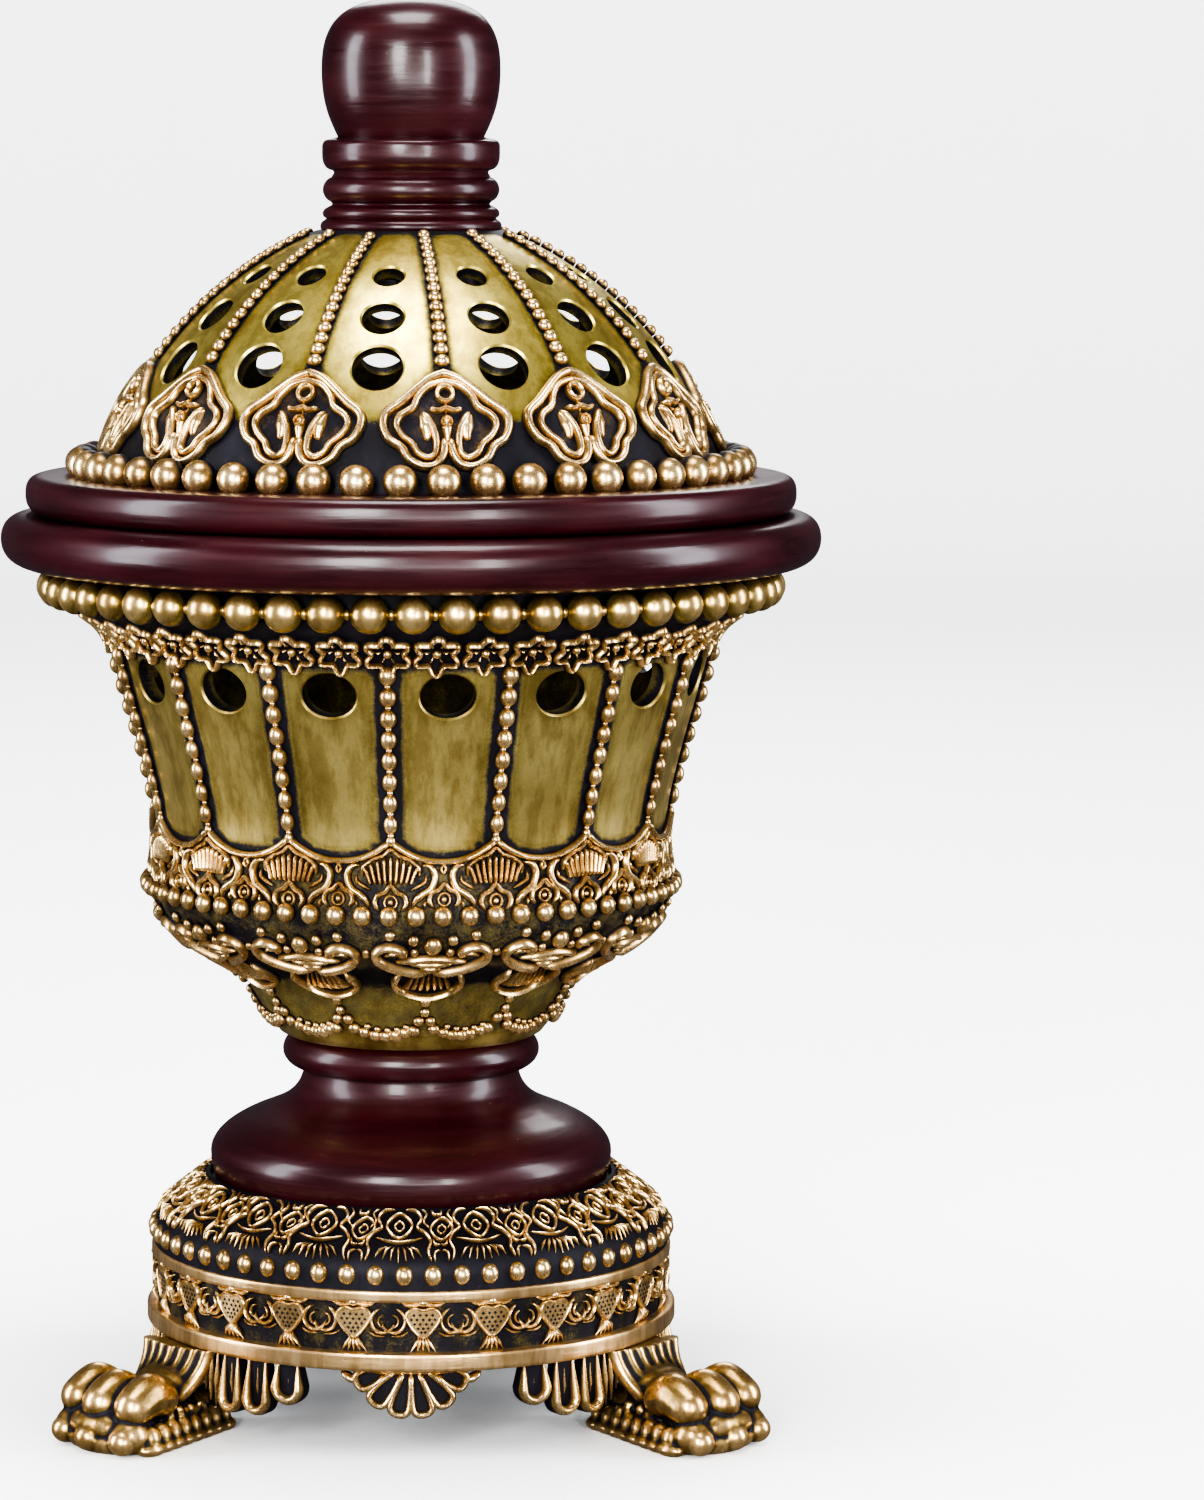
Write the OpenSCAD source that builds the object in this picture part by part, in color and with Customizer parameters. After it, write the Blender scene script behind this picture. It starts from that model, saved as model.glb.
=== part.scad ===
// Footed incense burner: a three-footed base, a turned pedestal, a pierced bowl with a
// loose ember pan in its liner, and a pierced dome lid that lifts off by its knob.
// Millimetres, +Z up, origin on the floor below the axis, front towards -Y.
// Angles round the axis are counted from the front, positive towards +X.

/* [Base] */
// Height of the drum's underside above the floor
drum_z = 15; // [14:0.5:16]
// Outer radius of the base drum
drum_r = 43.5; // [43:0.25:44]
// Height of the drum between the floor plate and the skirt
drum_h = 13.4; // [12.5:0.1:14]
// Radius out to the front of the claws
foot_reach = 68; // [66:0.5:69]
// Angle by which the front paws are turned towards the front
paw_turn = 16; // [0:1:20]
// Number of hanging leaf motifs on the drum
motif_count = 24; // [16:1:24]

/* [Pedestal] */
// Largest radius of the turned pedestal
pedestal_r = 34.4; // [34:0.1:35]
// Radius of the pedestal's neck
neck_r = 18.2; // [17:0.2:20]
// Height at which the bowl sits on the pedestal
bowl_z = 64.5; // [64:0.5:65]

/* [Bowl] */
// Number of panels, and of vents, round the bowl
bowl_panels = 16; // [12:1:18]
// Width of a vent in the bowl
vent_w = 9.2; // [7:0.2:10]
// Height of a vent in the bowl
vent_h = 7.6; // [6:0.2:8]
// Height at which the liner's flange sits in the bowl
liner_z = 108; // [107:0.5:109]

/* [Rim and lid] */
// Outer radius of the turned rim ring
rim_r = 69.5; // [68:0.5:70]
// Height of the seam between the rim and the lid
seam_z = 153.5; // [153:0.5:154]
// Outer radius of the turned lid flange
lid_r = 65.3; // [64:0.1:66]
// Number of panels round the dome
dome_panels = 13; // [8:1:14]
// Diameters of the smoke holes in each panel, from the top down
smoke_d = [5.1, 7, 8.5]; // [4:0.1:9]

/* [Ember pan] */
// Outer radius of the ember pan
pan_r = 30.6; // [29:0.1:30.7]
// Height of the ember pan
pan_h = 8; // [6:0.5:9]

/* [Fasteners] */
// Radius of the tie rod through the pedestal
rod_r = 3; // [2.5:0.1:3.2]
// Radius of the stud that holds the knob
stud_r = 2.5; // [2:0.1:3]

/* [Hidden] */
$fn = 72;

wood = "#3a1218";
gold_panel = "#8d7c35";
gold_relief = "#b58a4d";
polished_gold = "#e0ae2c";
bare_metal = "#b9bcc0";

// Base heights
skirt_z = drum_z + drum_h;
plate_z = 38.8;
plate_t = 3;
drum_wall = 2.5;
flange_t = 3;
screw_ring_r = 35;
screw_r = 2;
foot_angles = [-60, 60, 180];
leg_r = 43;

// Bowl
wall_t = 3;
neck_in_r = 54.5;
neck_out_r = 57.4;
cornice_r = 58.2;
floor_z = 70;
vent_z = 127;
rim_bead = [60.8, 141.2, 3];
rim_bead_count = 54;
lower_bead = [44.7, 90.6, 1.55];
skirt_bead = [43.7, 30.6, 1.4];

// Lid
flange_top = 160;
dome_seat_z = 158;
dome_foot_r = 53;
dome_top_z = 201.2;
dome_centre = [-8.15, 141.7];
dome_arc_r = 64.1;
dome_t = 2.5;
dome_top_in_z = dome_top_z - dome_t - 0.5;
knob_washer_r = 6.5;
dome_phase = 6.6;
bowl_phase = -4.3;
lid_bead = [55.7, 162, 2.95];
lid_bead_count = 50;
smoke_z = [194.1, 187.6, 179.8];

// Pan and liner
pan_seat_z = 100;
pan_wall = 0.8;
liner_gap = 0.6;
sheet_t = 1.2;

// A cubic curve from a to d with the handles b and c, in n steps
function bez(a, b, c, d, n) = [
    for (i = [0 : n])
        let (t = i / n, u = 1 - t)
            u * u * u * a + 3 * u * u * t * b + 3 * u * t * t * c + t * t * t * d
];
function reversed(list) = [for (i = [len(list) - 1 : -1 : 0]) list[i]];
function shifted(list, by) = [for (p = list) p + by];

// Outlines of the bowl, from the pedestal up
foot_curve = bez([22, bowl_z], [25.5, 67.5], [27.5, 73], [30, 76.5], 4);
belly_curve = bez([30, 76.5], [34, 79.5], [39, 80.5], [42.6, 86], 4);
collar_line = [[44.2, 88], [43.2, 99]];
wall_curve = bez([43.2, 99], [44.6, 110], [48.6, 122], [50.9, 131], 4);
cornice_curve = bez([50.9, 131], [51.8, 136], [57, 137.5], [cornice_r, 139.5], 4);

// Outline of the dome, from its foot up, moved out by t
function dome_angle(z) = asin((z - dome_centre[1]) / dome_arc_r);
function dome_curve(t) = [
    for (i = [0 : 12])
        let (a = dome_angle(dome_seat_z + 3)
                 + i * (dome_angle(dome_top_z) - dome_angle(dome_seat_z + 3)) / 12)
            dome_centre + (dome_arc_r + t) * [cos(a), sin(a)]
];

module around(n, phase = 0) {
    for (i = [0 : n - 1]) rotate([0, 0, phase + i * 360 / n]) children();
}
module at_feet() {
    for (a = foot_angles) rotate([0, 0, a]) children();
}
// Extrudes an outline, drawn as seen from the front, from radius r0 out to r1
module outwards(r0, r1) {
    rotate([90, 0, 0]) translate([0, 0, r0]) linear_extrude(r1 - r0) children();
}
// A round wire; size is [ring radius, height, wire radius]
module wire_ring(size) {
    rotate_extrude() translate([size[0], size[1]]) circle(r = size[2], $fn = 24);
}
// Loose beads set round such a ring
module bead_ring(size, count) {
    around(count) translate([0, -size[0], size[1]]) sphere(r = size[2], $fn = 24);
}
// The groove that such a ring lies in
module bead_groove(size) {
    rotate_extrude() translate([size[0], size[1]]) circle(r = size[2] + 0.05, $fn = 32);
}
// A turned ring with the outline given by r and z ranges
module ring(r_in, r_out, z0, z1) {
    rotate_extrude() translate([r_in, z0]) square([r_out - r_in, z1 - z0]);
}
// A layer t thick that lies on the outline given by points
module skin(points, by) {
    rotate_extrude() polygon(concat(points, reversed(shifted(points, by))));
}
module hex_nut(flats, bore, h) {
    difference() {
        cylinder(r = flats / 2 / cos(30), h = h, $fn = 6);
        translate([0, 0, -1]) cylinder(r = bore, h = h + 2);
    }
}

// ---- Base ----

// Sole, instep, knuckles and claws of a paw that points along -Y from its heel
module paw() {
    toe_r = 3.4;
    toe_y = -(foot_reach - leg_r) + toe_r;
    hull() for (p = [[0, 0, 7], [0, 16, 9.5]])
        translate([0, -p[1], 0]) cylinder(r = p[2], h = 3.2, $fn = 32);
    hull() {
        translate([0, -3, 7]) sphere(r = 4.6, $fn = 16);
        translate([0, -13, 5.4]) sphere(r = 6, $fn = 16);
    }
    for (x = [-6.4, 0, 6.4]) {
        translate([x, toe_y + abs(x) / 4, toe_r - 0.2]) sphere(r = toe_r, $fn = 32);
        translate([x, toe_y + 5.5 + abs(x) / 4, 8]) sphere(r = 3.9, $fn = 32);
    }
}
// A lion's paw on a short curved leg, with a pad that bolts up under the drum.
// The paw is turned about the leg, so that both front paws point a little forwards.
module foot(turn) {
    color(gold_relief) difference() {
        union() {
            translate([0, -screw_ring_r, 8]) cylinder(r = 6.5, h = drum_z - 8);
            hull() {
                translate([0, -leg_r + 2, 11]) sphere(r = 5, $fn = 16);
                translate([0, -leg_r - 3, 7]) sphere(r = 4.6, $fn = 16);
            }
            translate([0, -leg_r, 0]) rotate([0, 0, turn]) paw();
        }
        translate([0, -screw_ring_r, 0]) cylinder(r = screw_r + 0.1, h = drum_z + 1);
        translate([0, -screw_ring_r, -1]) cylinder(r = 3.9, h = 9);
        translate([-30, -80, -10]) cube([60, 60, 10]);
        translate([-30, -60, drum_z]) cube([60, 40, 10]);
    }
}
module foot_screws() {
    color(bare_metal) at_feet() translate([0, -screw_ring_r, 0]) {
        translate([0, 0, 8]) cylinder(r = screw_r, h = 22);
        difference() {
            translate([0, 0, 5.5]) cylinder(r = 3.6, h = 2.5);
            translate([-0.5, -3, 5]) cube([1, 6, 1.4]);
        }
    }
}
module base_drum() {
    color(gold_panel) difference() {
        union() {
            ring(drum_r - drum_wall, drum_r, drum_z, skirt_z);
            ring(30, drum_r - drum_wall, drum_z, drum_z + flange_t);
        }
        at_feet() translate([0, -screw_ring_r, drum_z - 1]) cylinder(r = screw_r + 0.1, h = flange_t + 2);
    }
}
module lower_band() {
    color(gold_relief) ring(drum_r, 45.5, drum_z, drum_z + 3.1);
}
module upper_band() {
    color(gold_relief) ring(drum_r, 44.7, skirt_z - 2, skirt_z);
}
// Hanging leaves with a scroll on each side and a tassel below
module drum_motifs() {
    color(gold_relief) intersection() {
        ring(drum_r, 44.8, drum_z + 3.1, skirt_z - 2);
        around(motif_count, 2.6) outwards(40, 50) translate([0, drum_z]) {
            polygon([[-2.4, 9.6], [2.4, 9.6], [3, 7.6], [0, 4.6], [-3, 7.6]]);
            polygon([[-0.8, 5.6], [0.8, 5.6], [1.8, 3], [-1.8, 3]]);
            for (s = [-1, 1]) translate([s * 3.6, 7.4]) circle(r = 1.6, $fn = 24);
        }
    }
}
// Lobes beside each leg, as [angle from the leg, drop, half width]
leg_lobes = [[16.7, 9.8, 2.5], [24.2, 9.4, 2.7], [31.9, 6.9, 3]];

// Ribbed shells that hang below the drum between the feet, and the lobes beside the legs
module apron_shells() {
    color(gold_relief) intersection() {
        ring(drum_r - drum_wall, drum_r + 1.8, 5.5, drum_z);
        union() {
            around(3) outwards(36, 50) translate([0, drum_z + 2.4]) {
                for (a = [-62.5 : 25 : 62.5]) rotate(a) {
                    translate([-1.3, -8.2]) square([2.6, 8.2]);
                    translate([0, -8.2]) circle(r = 1.75, $fn = 24);
                }
                for (s = [-1, 1]) translate([s * 9.9, -3.2]) circle(r = 1.3, $fn = 24);
            }
            for (lobe = leg_lobes, s = [-1, 1])
                around(3, 60 + s * lobe[0]) outwards(36, 50) translate([0, drum_z + lobe[2] - lobe[1]]) {
                    translate([-0.8 * lobe[2], 0]) square([1.6 * lobe[2], lobe[1] - lobe[2] + 1]);
                    circle(r = lobe[2], $fn = 32);
                }
        }
    }
}
module base_skirt() {
    slope = concat([[34.9, 40.4], [40.9, 35.7]], bez([40.9, 35.7], [43, 34.2], [44.1, 32.8], [44.2, 31], 4));
    color(gold_panel) difference() {
        union() {
            rotate_extrude() polygon(concat(
                [[0, plate_z - plate_t], [0, plate_z], [34.5, plate_z], [34.5, 40.4]],
                slope,
                [[44.2, skirt_z], [41, skirt_z], [41, 31.5], [36, plate_z - plate_t]]
            ));
            at_feet() translate([0, -screw_ring_r, drum_z + flange_t]) cylinder(r = 4, h = 19);
        }
        cylinder(r = rod_r + 0.15, h = 60);
        at_feet() translate([0, -screw_ring_r, 0]) cylinder(r = screw_r, h = 31);
        bead_groove(skirt_bead);
    }
}
module skirt_beads() {
    color(gold_relief) wire_ring(skirt_bead);
}

// ---- Pedestal and its tie rod ----

module pedestal() {
    shoulder = bez([pedestal_r, 43.3], [pedestal_r + 0.3, 46.2], [32, 48.3], [28, 50.2], 5);
    cove = bez([28, 50.2], [23, 52], [19.6, 53.4], [neck_r + 0.4, 57.6], 6);
    collar = bez([neck_r, 58.4], [22, 59], [23.2, 61.6], [20.6, 64], 6);
    color(wood) difference() {
        rotate_extrude() polygon(concat(
            [[0, plate_z], [33.6, plate_z]], shoulder, cove, collar, [[20.4, bowl_z], [0, bowl_z]]
        ));
        cylinder(r = rod_r + 0.15, h = 80);
    }
}
rod_z0 = plate_z - plate_t - 9;
rod_z1 = floor_z + 8.5;
washer_t = 1.5;
nut_h = 5;
module tie_rod() {
    color(bare_metal) translate([0, 0, rod_z0]) cylinder(r = rod_r, h = rod_z1 - rod_z0);
}
module tie_rod_nuts() {
    color(bare_metal) for (z = [plate_z - plate_t - washer_t - nut_h, floor_z + washer_t])
        translate([0, 0, z]) hex_nut(10, rod_r, nut_h);
}
module tie_rod_washers() {
    color(bare_metal) for (z = [plate_z - plate_t - washer_t, floor_z])
        ring(rod_r, 7, z, z + washer_t);
}

// ---- Bowl ----

module vent() {
    outwards(40, 60) translate([0, vent_z]) {
        for (s = [-1, 1]) translate([s * (vent_w - vent_h) / 2, 0]) circle(r = vent_h / 2, $fn = 40);
        translate([-(vent_w - vent_h) / 2, -vent_h / 2]) square([vent_w - vent_h, vent_h]);
    }
}
module bowl_shell() {
    outside = concat(foot_curve, belly_curve, collar_line, wall_curve, cornice_curve,
                     [[cornice_r, 144.5], [neck_out_r, 144.5], [neck_out_r, 153]]);
    inside = concat([[neck_in_r, 153], [neck_in_r, 146], [48, 134]],
                    reversed(shifted([for (p = wall_curve) if (p[1] > liner_z) p], [-wall_t, 0])),
                    [[41.7, liner_z], [39, liner_z], [38.3, 95], [37, 89], [31, 82.5], [24, 74],
                     [20, floor_z], [0, floor_z]]);
    color(gold_panel) difference() {
        rotate_extrude() polygon(concat([[0, bowl_z]], outside, inside));
        around(bowl_panels, bowl_phase + 180 / bowl_panels) vent();
        cylinder(r = rod_r + 0.15, h = 100);
        bead_groove(lower_bead);
        bead_groove(rim_bead);
    }
}
// Strings hung round the foot of the bowl
module garland_swags() {
    color(gold_relief) intersection() {
        skin(foot_curve, [1, -0.6]);
        around(12, 6) outwards(18, 40) translate([0, 74]) difference() {
            circle(r = 6.4);
            circle(r = 5);
            translate([-10, -2]) square([20, 12]);
        }
    }
}
// Scrolls and shells under the belly
module shell_fans() {
    color(gold_relief) intersection() {
        skin(belly_curve, [0.9, -0.9]);
        around(12, 6) translate([0, 0, 60]) linear_extrude(40) {
            translate([0, -41.5]) circle(r = 4.4);
            for (a = [-24 : 12 : 24]) translate([0, -41.5]) rotate(a) translate([-0.9, 0]) square([1.8, 9]);
        }
    }
}
module lower_beads() {
    color(gold_relief) wire_ring(lower_bead);
}
module palmette_collar() {
    collar_top = collar_line[1] + 0.48 * (wall_curve[1] - collar_line[1]);
    color(gold_relief) difference() {
        skin([[43.8, 92.4], collar_line[1], collar_top], [1.3, 0]);
        around(bowl_panels, bowl_phase + 180 / bowl_panels)
            outwards(38, 50) translate([0, 106.2]) circle(r = 6.4);
    }
}
module bowl_ribs() {
    color(gold_relief) intersection() {
        skin(wall_curve, [1.5, 0]);
        around(bowl_panels, bowl_phase) outwards(40, 60) translate([-1.4, 103.1]) square([2.8, 26]);
    }
}
module flower_frieze() {
    flowers = 42;
    color(gold_relief) intersection() {
        skin(concat(wall_curve, cornice_curve), [1.4, 0]);
        around(flowers, 4.5) outwards(46, 62) translate([0, 134.6]) circle(r = 3, $fn = 24);
    }
}
module rim_beads() {
    color(gold_relief) bead_ring(rim_bead, rim_bead_count);
}
module rim_ring() {
    edge = concat(
        bez([64.5, 144.6], [67.6, 144.8], [rim_r, 146.6], [rim_r, 149.4], 6),
        bez([rim_r, 149.4], [rim_r, 152], [67.6, seam_z], [65, seam_z], 6)
    );
    color(wood) rotate_extrude() polygon(concat([[neck_out_r, 144.5]], edge, [[neck_out_r, seam_z]]));
}

// ---- Liner and ember pan ----

module liner_cup() {
    cup_r = pan_r + liner_gap;
    ledge_r = 27.5;
    color(bare_metal) rotate_extrude() polygon([
        [0, 88], [ledge_r + sheet_t, 88], [ledge_r + sheet_t, pan_seat_z - sheet_t],
        [cup_r + sheet_t, pan_seat_z - sheet_t], [cup_r + sheet_t, liner_z], [41.3, liner_z],
        [41.3, liner_z + 1], [cup_r, liner_z + 1], [cup_r, pan_seat_z], [ledge_r, pan_seat_z],
        [ledge_r, 88 + sheet_t], [0, 88 + sheet_t]
    ]);
}
module ember_pan() {
    hole_ring = 20.7;
    color(polished_gold) difference() {
        translate([0, 0, pan_seat_z]) cylinder(r = pan_r, h = pan_h);
        translate([0, 0, pan_seat_z + 1]) cylinder(r = pan_r - pan_wall, h = pan_h);
        translate([0, 0, pan_seat_z - 1]) {
            cylinder(r = 2.9, h = 4);
            around(5, 11) translate([0, -hole_ring, 0]) cylinder(r = 2.7, h = 4);
            around(5, 47) translate([0, -hole_ring, 0]) linear_extrude(4)
                polygon([[0, -4.1], [2.75, 0], [0, 4.1], [-2.75, 0]]);
        }
    }
}

// ---- Lid ----

lip_in_r = 51;
lip_out_r = neck_in_r - 0.3;
lip_seat = 3;
module lid_lip() {
    color(bare_metal) ring(lip_in_r, lip_out_r, seam_z - 5, seam_z + lip_seat);
}
module lid_flange() {
    edge = concat(
        bez([62.4, seam_z], [64.6, seam_z + 0.2], [lid_r, seam_z + 1.8], [lid_r, seam_z + 3.6], 5),
        bez([lid_r, seam_z + 3.6], [lid_r, flange_top - 1], [64.4, flange_top], [62.6, flange_top], 5)
    );
    color(wood) difference() {
        rotate_extrude() polygon(concat(
            [[49.5, seam_z]], edge, [[dome_foot_r, flange_top], [dome_foot_r, dome_seat_z], [49.5, dome_seat_z]]
        ));
        ring(lip_in_r, lip_out_r, seam_z - 1, seam_z + lip_seat);
        bead_groove(lid_bead);
    }
}
module lid_beads() {
    color(gold_relief) bead_ring(lid_bead, lid_bead_count);
}
module smoke_holes() {
    around(dome_panels, dome_phase + 180 / dome_panels) for (i = [0 : 2]) {
        a = dome_angle(smoke_z[i]);
        mid = dome_centre + dome_arc_r * [cos(a), sin(a)];
        translate([0, -mid[0], mid[1]]) rotate([90 - a, 0, 0]) cylinder(d = smoke_d[i], h = 12, center = true);
    }
}
module dome_shell() {
    outer = dome_curve(0);
    inner = dome_curve(-dome_t);
    color(gold_panel) difference() {
        rotate_extrude() polygon(concat(
            [[dome_foot_r, dome_seat_z]], outer,
            [[0, dome_top_z], [0, dome_top_in_z], [knob_washer_r + 1, dome_top_in_z]],
            reversed([for (p = inner) if (p[1] < dome_top_in_z - 1) p]),
            [[dome_foot_r - dome_t, dome_seat_z]]
        ));
        smoke_holes();
        cylinder(r = stud_r + 0.15, h = 300);
        bead_groove(lid_bead);
    }
}
module dome_skin(t) {
    rotate_extrude() polygon(concat(dome_curve(0), reversed(dome_curve(t))));
}
module dome_ribs() {
    color(gold_relief) intersection() {
        dome_skin(1.2);
        around(dome_panels, dome_phase) outwards(12, 50) translate([-1.1, 178.6]) square([2.2, 20.6]);
    }
}
// Lobed cartouches at the foot of each rib
module medallions() {
    color(gold_relief) intersection() {
        dome_skin(1.3);
        around(dome_panels, dome_phase) outwards(40, 60) translate([0, 171]) difference() {
            union() {
                polygon([[-3.2, 3.5], [0, 7.3], [3.2, 3.5], [6, 0], [0, -6.2], [-6, 0]]);
                for (s = [-1, 1]) {
                    translate([s * 7.6, 0.2]) circle(r = 3.2, $fn = 32);
                    translate([s * 3.8, -3]) circle(r = 3.6, $fn = 32);
                }
            }
            for (s = [-1, 1]) translate([s * 2.2, -4]) circle(r = 1.1, $fn = 16);
        }
    }
}
module knob() {
    foot_rings = [[0, dome_top_z], [15.3, dome_top_z], [15.3, 202.5], [14.5, 202.9],
                  [14.9, 203.3], [15, 204.6], [13.5, 205.2]];
    round_ring = [for (a = [-70 : 20 : 70]) [12.6 + 2.2 * cos(a), 207.9 + 2.2 * sin(a)]];
    top_ring = concat([[13.1, 210.8]], bez([13.4, 211.3], [14.6, 211.5], [14.9, 212.6], [14.9, 214], 4),
                      [[14.9, 215.4], [14.3, 216.1], [12.5, 216.4]]);
    bulb = concat(
        bez([12.3, 216.8], [13.4, 219], [15.06, 222], [15.06, 227.6], 7),
        bez([15.06, 228.4], [15.06, 237.4], [9.6, 240], [0, 240], 9)
    );
    color(wood) difference() {
        rotate_extrude() polygon(concat(foot_rings, round_ring, top_ring, bulb));
        cylinder(r = stud_r, h = 223);
    }
}
stud_z0 = dome_top_in_z - washer_t - 5.5;
knob_nut_h = 4;
module knob_stud() {
    color(bare_metal) translate([0, 0, stud_z0]) cylinder(r = stud_r, h = 222 - stud_z0);
}
module knob_nut() {
    color(bare_metal) translate([0, 0, dome_top_in_z - washer_t - knob_nut_h]) hex_nut(8, stud_r, knob_nut_h);
}
module knob_washer() {
    color(bare_metal) ring(stud_r, knob_washer_r, dome_top_in_z - washer_t, dome_top_in_z);
}

rotate([0, 0, foot_angles[0]]) foot(paw_turn);  // foot_front_left
rotate([0, 0, foot_angles[1]]) foot(-paw_turn);  // foot_front_right
rotate([0, 0, foot_angles[2]]) foot(0);  // foot_rear
foot_screws();
base_drum();
lower_band();
upper_band();
drum_motifs();
apron_shells();
base_skirt();
skirt_beads();
pedestal();
tie_rod();
tie_rod_nuts();
tie_rod_washers();
bowl_shell();
garland_swags();
shell_fans();
lower_beads();
palmette_collar();
bowl_ribs();
flower_frieze();
rim_beads();
rim_ring();
liner_cup();
ember_pan();
lid_lip();
lid_flange();
lid_beads();
dome_shell();
dome_ribs();
medallions();
knob();
knob_stud();
knob_nut();
knob_washer();
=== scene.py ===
"""Looks of the footed incense burner: turned dark wood, pierced gilt shells and cast relief.

Lengths are millimetres until a mesh is made. Angles round the axis are degrees from the front (-Y),
positive towards +X. A relief is drawn flat, as (across, up, height), and then wrapped on a turned outline.
"""
import math

import bmesh
import bpy
import numpy as np
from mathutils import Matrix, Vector
from mathutils.geometry import delaunay_2d_cdt


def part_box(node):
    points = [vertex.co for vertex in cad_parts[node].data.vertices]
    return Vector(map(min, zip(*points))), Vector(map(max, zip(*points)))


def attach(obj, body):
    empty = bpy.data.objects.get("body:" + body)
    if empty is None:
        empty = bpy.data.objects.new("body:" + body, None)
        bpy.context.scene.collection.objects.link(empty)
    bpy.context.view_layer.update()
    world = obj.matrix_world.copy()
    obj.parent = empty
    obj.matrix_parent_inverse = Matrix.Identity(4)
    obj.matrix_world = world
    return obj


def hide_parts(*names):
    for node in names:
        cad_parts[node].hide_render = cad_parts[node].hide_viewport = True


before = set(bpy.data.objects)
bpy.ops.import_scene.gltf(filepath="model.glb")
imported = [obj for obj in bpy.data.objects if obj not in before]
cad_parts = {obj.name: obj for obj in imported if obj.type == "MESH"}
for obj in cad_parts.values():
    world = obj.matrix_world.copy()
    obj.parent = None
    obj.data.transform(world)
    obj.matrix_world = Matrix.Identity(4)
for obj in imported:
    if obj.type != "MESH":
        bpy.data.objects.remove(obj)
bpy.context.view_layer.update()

MM = 0.001
FINE_SIDES = 224  # round the widest rings
rng = np.random.default_rng(7)


def top_of(node):
    """Height of a CAD node's top in millimetres."""
    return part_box(node)[1][2] / MM


def foot_of(node):
    """Height of a CAD node's underside in millimetres."""
    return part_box(node)[0][2] / MM


# ---------------- outlines

def bezier(a, b, c, d, steps):
    """A cubic curve from a to d with the handles b and c."""
    t = np.linspace(0, 1, steps + 1)[:, None]
    a, b, c, d = (np.array(p, float) for p in (a, b, c, d))
    return (1 - t) ** 3 * a + 3 * (1 - t) ** 2 * t * b + 3 * (1 - t) * t ** 2 * c + t ** 3 * d


def joined(*runs):
    """One list of points from several runs, without doubled points."""
    out = []
    for p in np.concatenate([np.atleast_2d(np.array(r, float)) for r in runs]):
        if not out or np.hypot(*(p - out[-1])) > 1e-4:
            out.append(p)
    return np.array(out)


def flowing(points, closed=False, per=5):
    """A smooth curve through the points."""
    p = np.array(points, float)
    n = len(p)
    out = []
    for i in range(n if closed else n - 1):
        q = [p[(i + k) % n if closed else min(max(i + k, 0), n - 1)] for k in (-1, 0, 1, 2)]
        for t in np.arange(per) / per:
            out.append(0.5 * (2 * q[1] + (q[2] - q[0]) * t + (2 * q[0] - 5 * q[1] + 4 * q[2] - q[3]) * t ** 2
                              + (3 * q[1] - q[0] - 3 * q[2] + q[3]) * t ** 3))
    if not closed:
        out.append(p[-1])
    return np.array(out)


class Outline:
    """A turned surface: its (radius, height) points from the bottom up, measured along its length."""

    def __init__(self, points):
        p = np.array(points, float)
        step = np.hypot(*np.diff(p, axis=0).T)
        length = np.concatenate([[0], np.cumsum(step)])
        self.end = length[-1]
        self.s = np.linspace(0, self.end, max(int(self.end / 0.25), 8))
        self.r = np.interp(self.s, length, p[:, 0])
        self.z = np.interp(self.s, length, p[:, 1])
        kernel = np.ones(5) / 5
        dr = np.convolve(np.pad(np.gradient(self.r, self.s), 2, "edge"), kernel, "valid")
        dz = np.convolve(np.pad(np.gradient(self.z, self.s), 2, "edge"), kernel, "valid")
        size = np.hypot(dr, dz)
        self.nr, self.nz = dz / size, -dr / size

    def length_at(self, z):
        """Distance along the outline at which it reaches height z."""
        return float(np.interp(z, self.z, self.s))

    def wrap(self, across, up, height, angle):
        """Points in space. across is in mm round the axis from angle, height stands off the surface."""
        r = np.interp(up, self.s, self.r)
        z = np.interp(up, self.s, self.z)
        nr, nz = np.interp(up, self.s, self.nr), np.interp(up, self.s, self.nz)
        a = np.radians(angle) + across / np.maximum(r, 0.5)
        rr = r + height * nr
        return np.stack([rr * np.sin(a), -rr * np.cos(a), z + height * nz], -1)


# ---------------- meshes

def new_object(name, verts_mm, faces, rub=None, sharp=None):
    """A smooth-shaded mesh object; edges over sharp degrees stay sharp."""
    mesh = bpy.data.meshes.new(name)
    mesh.from_pydata((np.asarray(verts_mm) * MM).tolist(), [], faces)
    mesh.validate()
    if rub is not None:
        layer = mesh.attributes.new("rub", "FLOAT", "POINT")
        layer.data.foreach_set("value", np.asarray(rub, np.float32))
    mesh.shade_smooth()
    if sharp:
        mesh.set_sharp_from_angle(angle=math.radians(sharp))
    obj = bpy.data.objects.new(name, mesh)
    bpy.context.scene.collection.objects.link(obj)
    return obj


def settle(obj, body, material, slot, *nodes):
    """Gives a piece its body, its material and the CAD nodes it stands for."""
    obj.data.materials.clear()
    obj.data.materials.append(material)
    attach(obj, body)
    if nodes:
        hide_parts(*nodes)
    return obj


def turned(name, points, sides=160, sharp=35):
    """A closed turned solid. points run round the section; those on the axis become one vertex."""
    p = np.array(points, float)
    verts, rings, faces = [], [], []
    for (r, z), ring in zip(p, spin(p, sides)):
        if r < 1e-6:
            rings.append([len(verts)] * sides)
            verts.append((0, 0, z))
        else:
            rings.append(list(range(len(verts), len(verts) + sides)))
            verts.extend(ring)
    for a, b in zip(rings, rings[1:] + rings[:1]):
        for quad in strip(a, b):
            face = list(dict.fromkeys(quad))
            if len(face) > 2:
                faces.append(face)
    obj = new_object(name, verts, faces, np.ones(len(verts)), sharp)
    clean(obj.data)
    return obj


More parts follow.
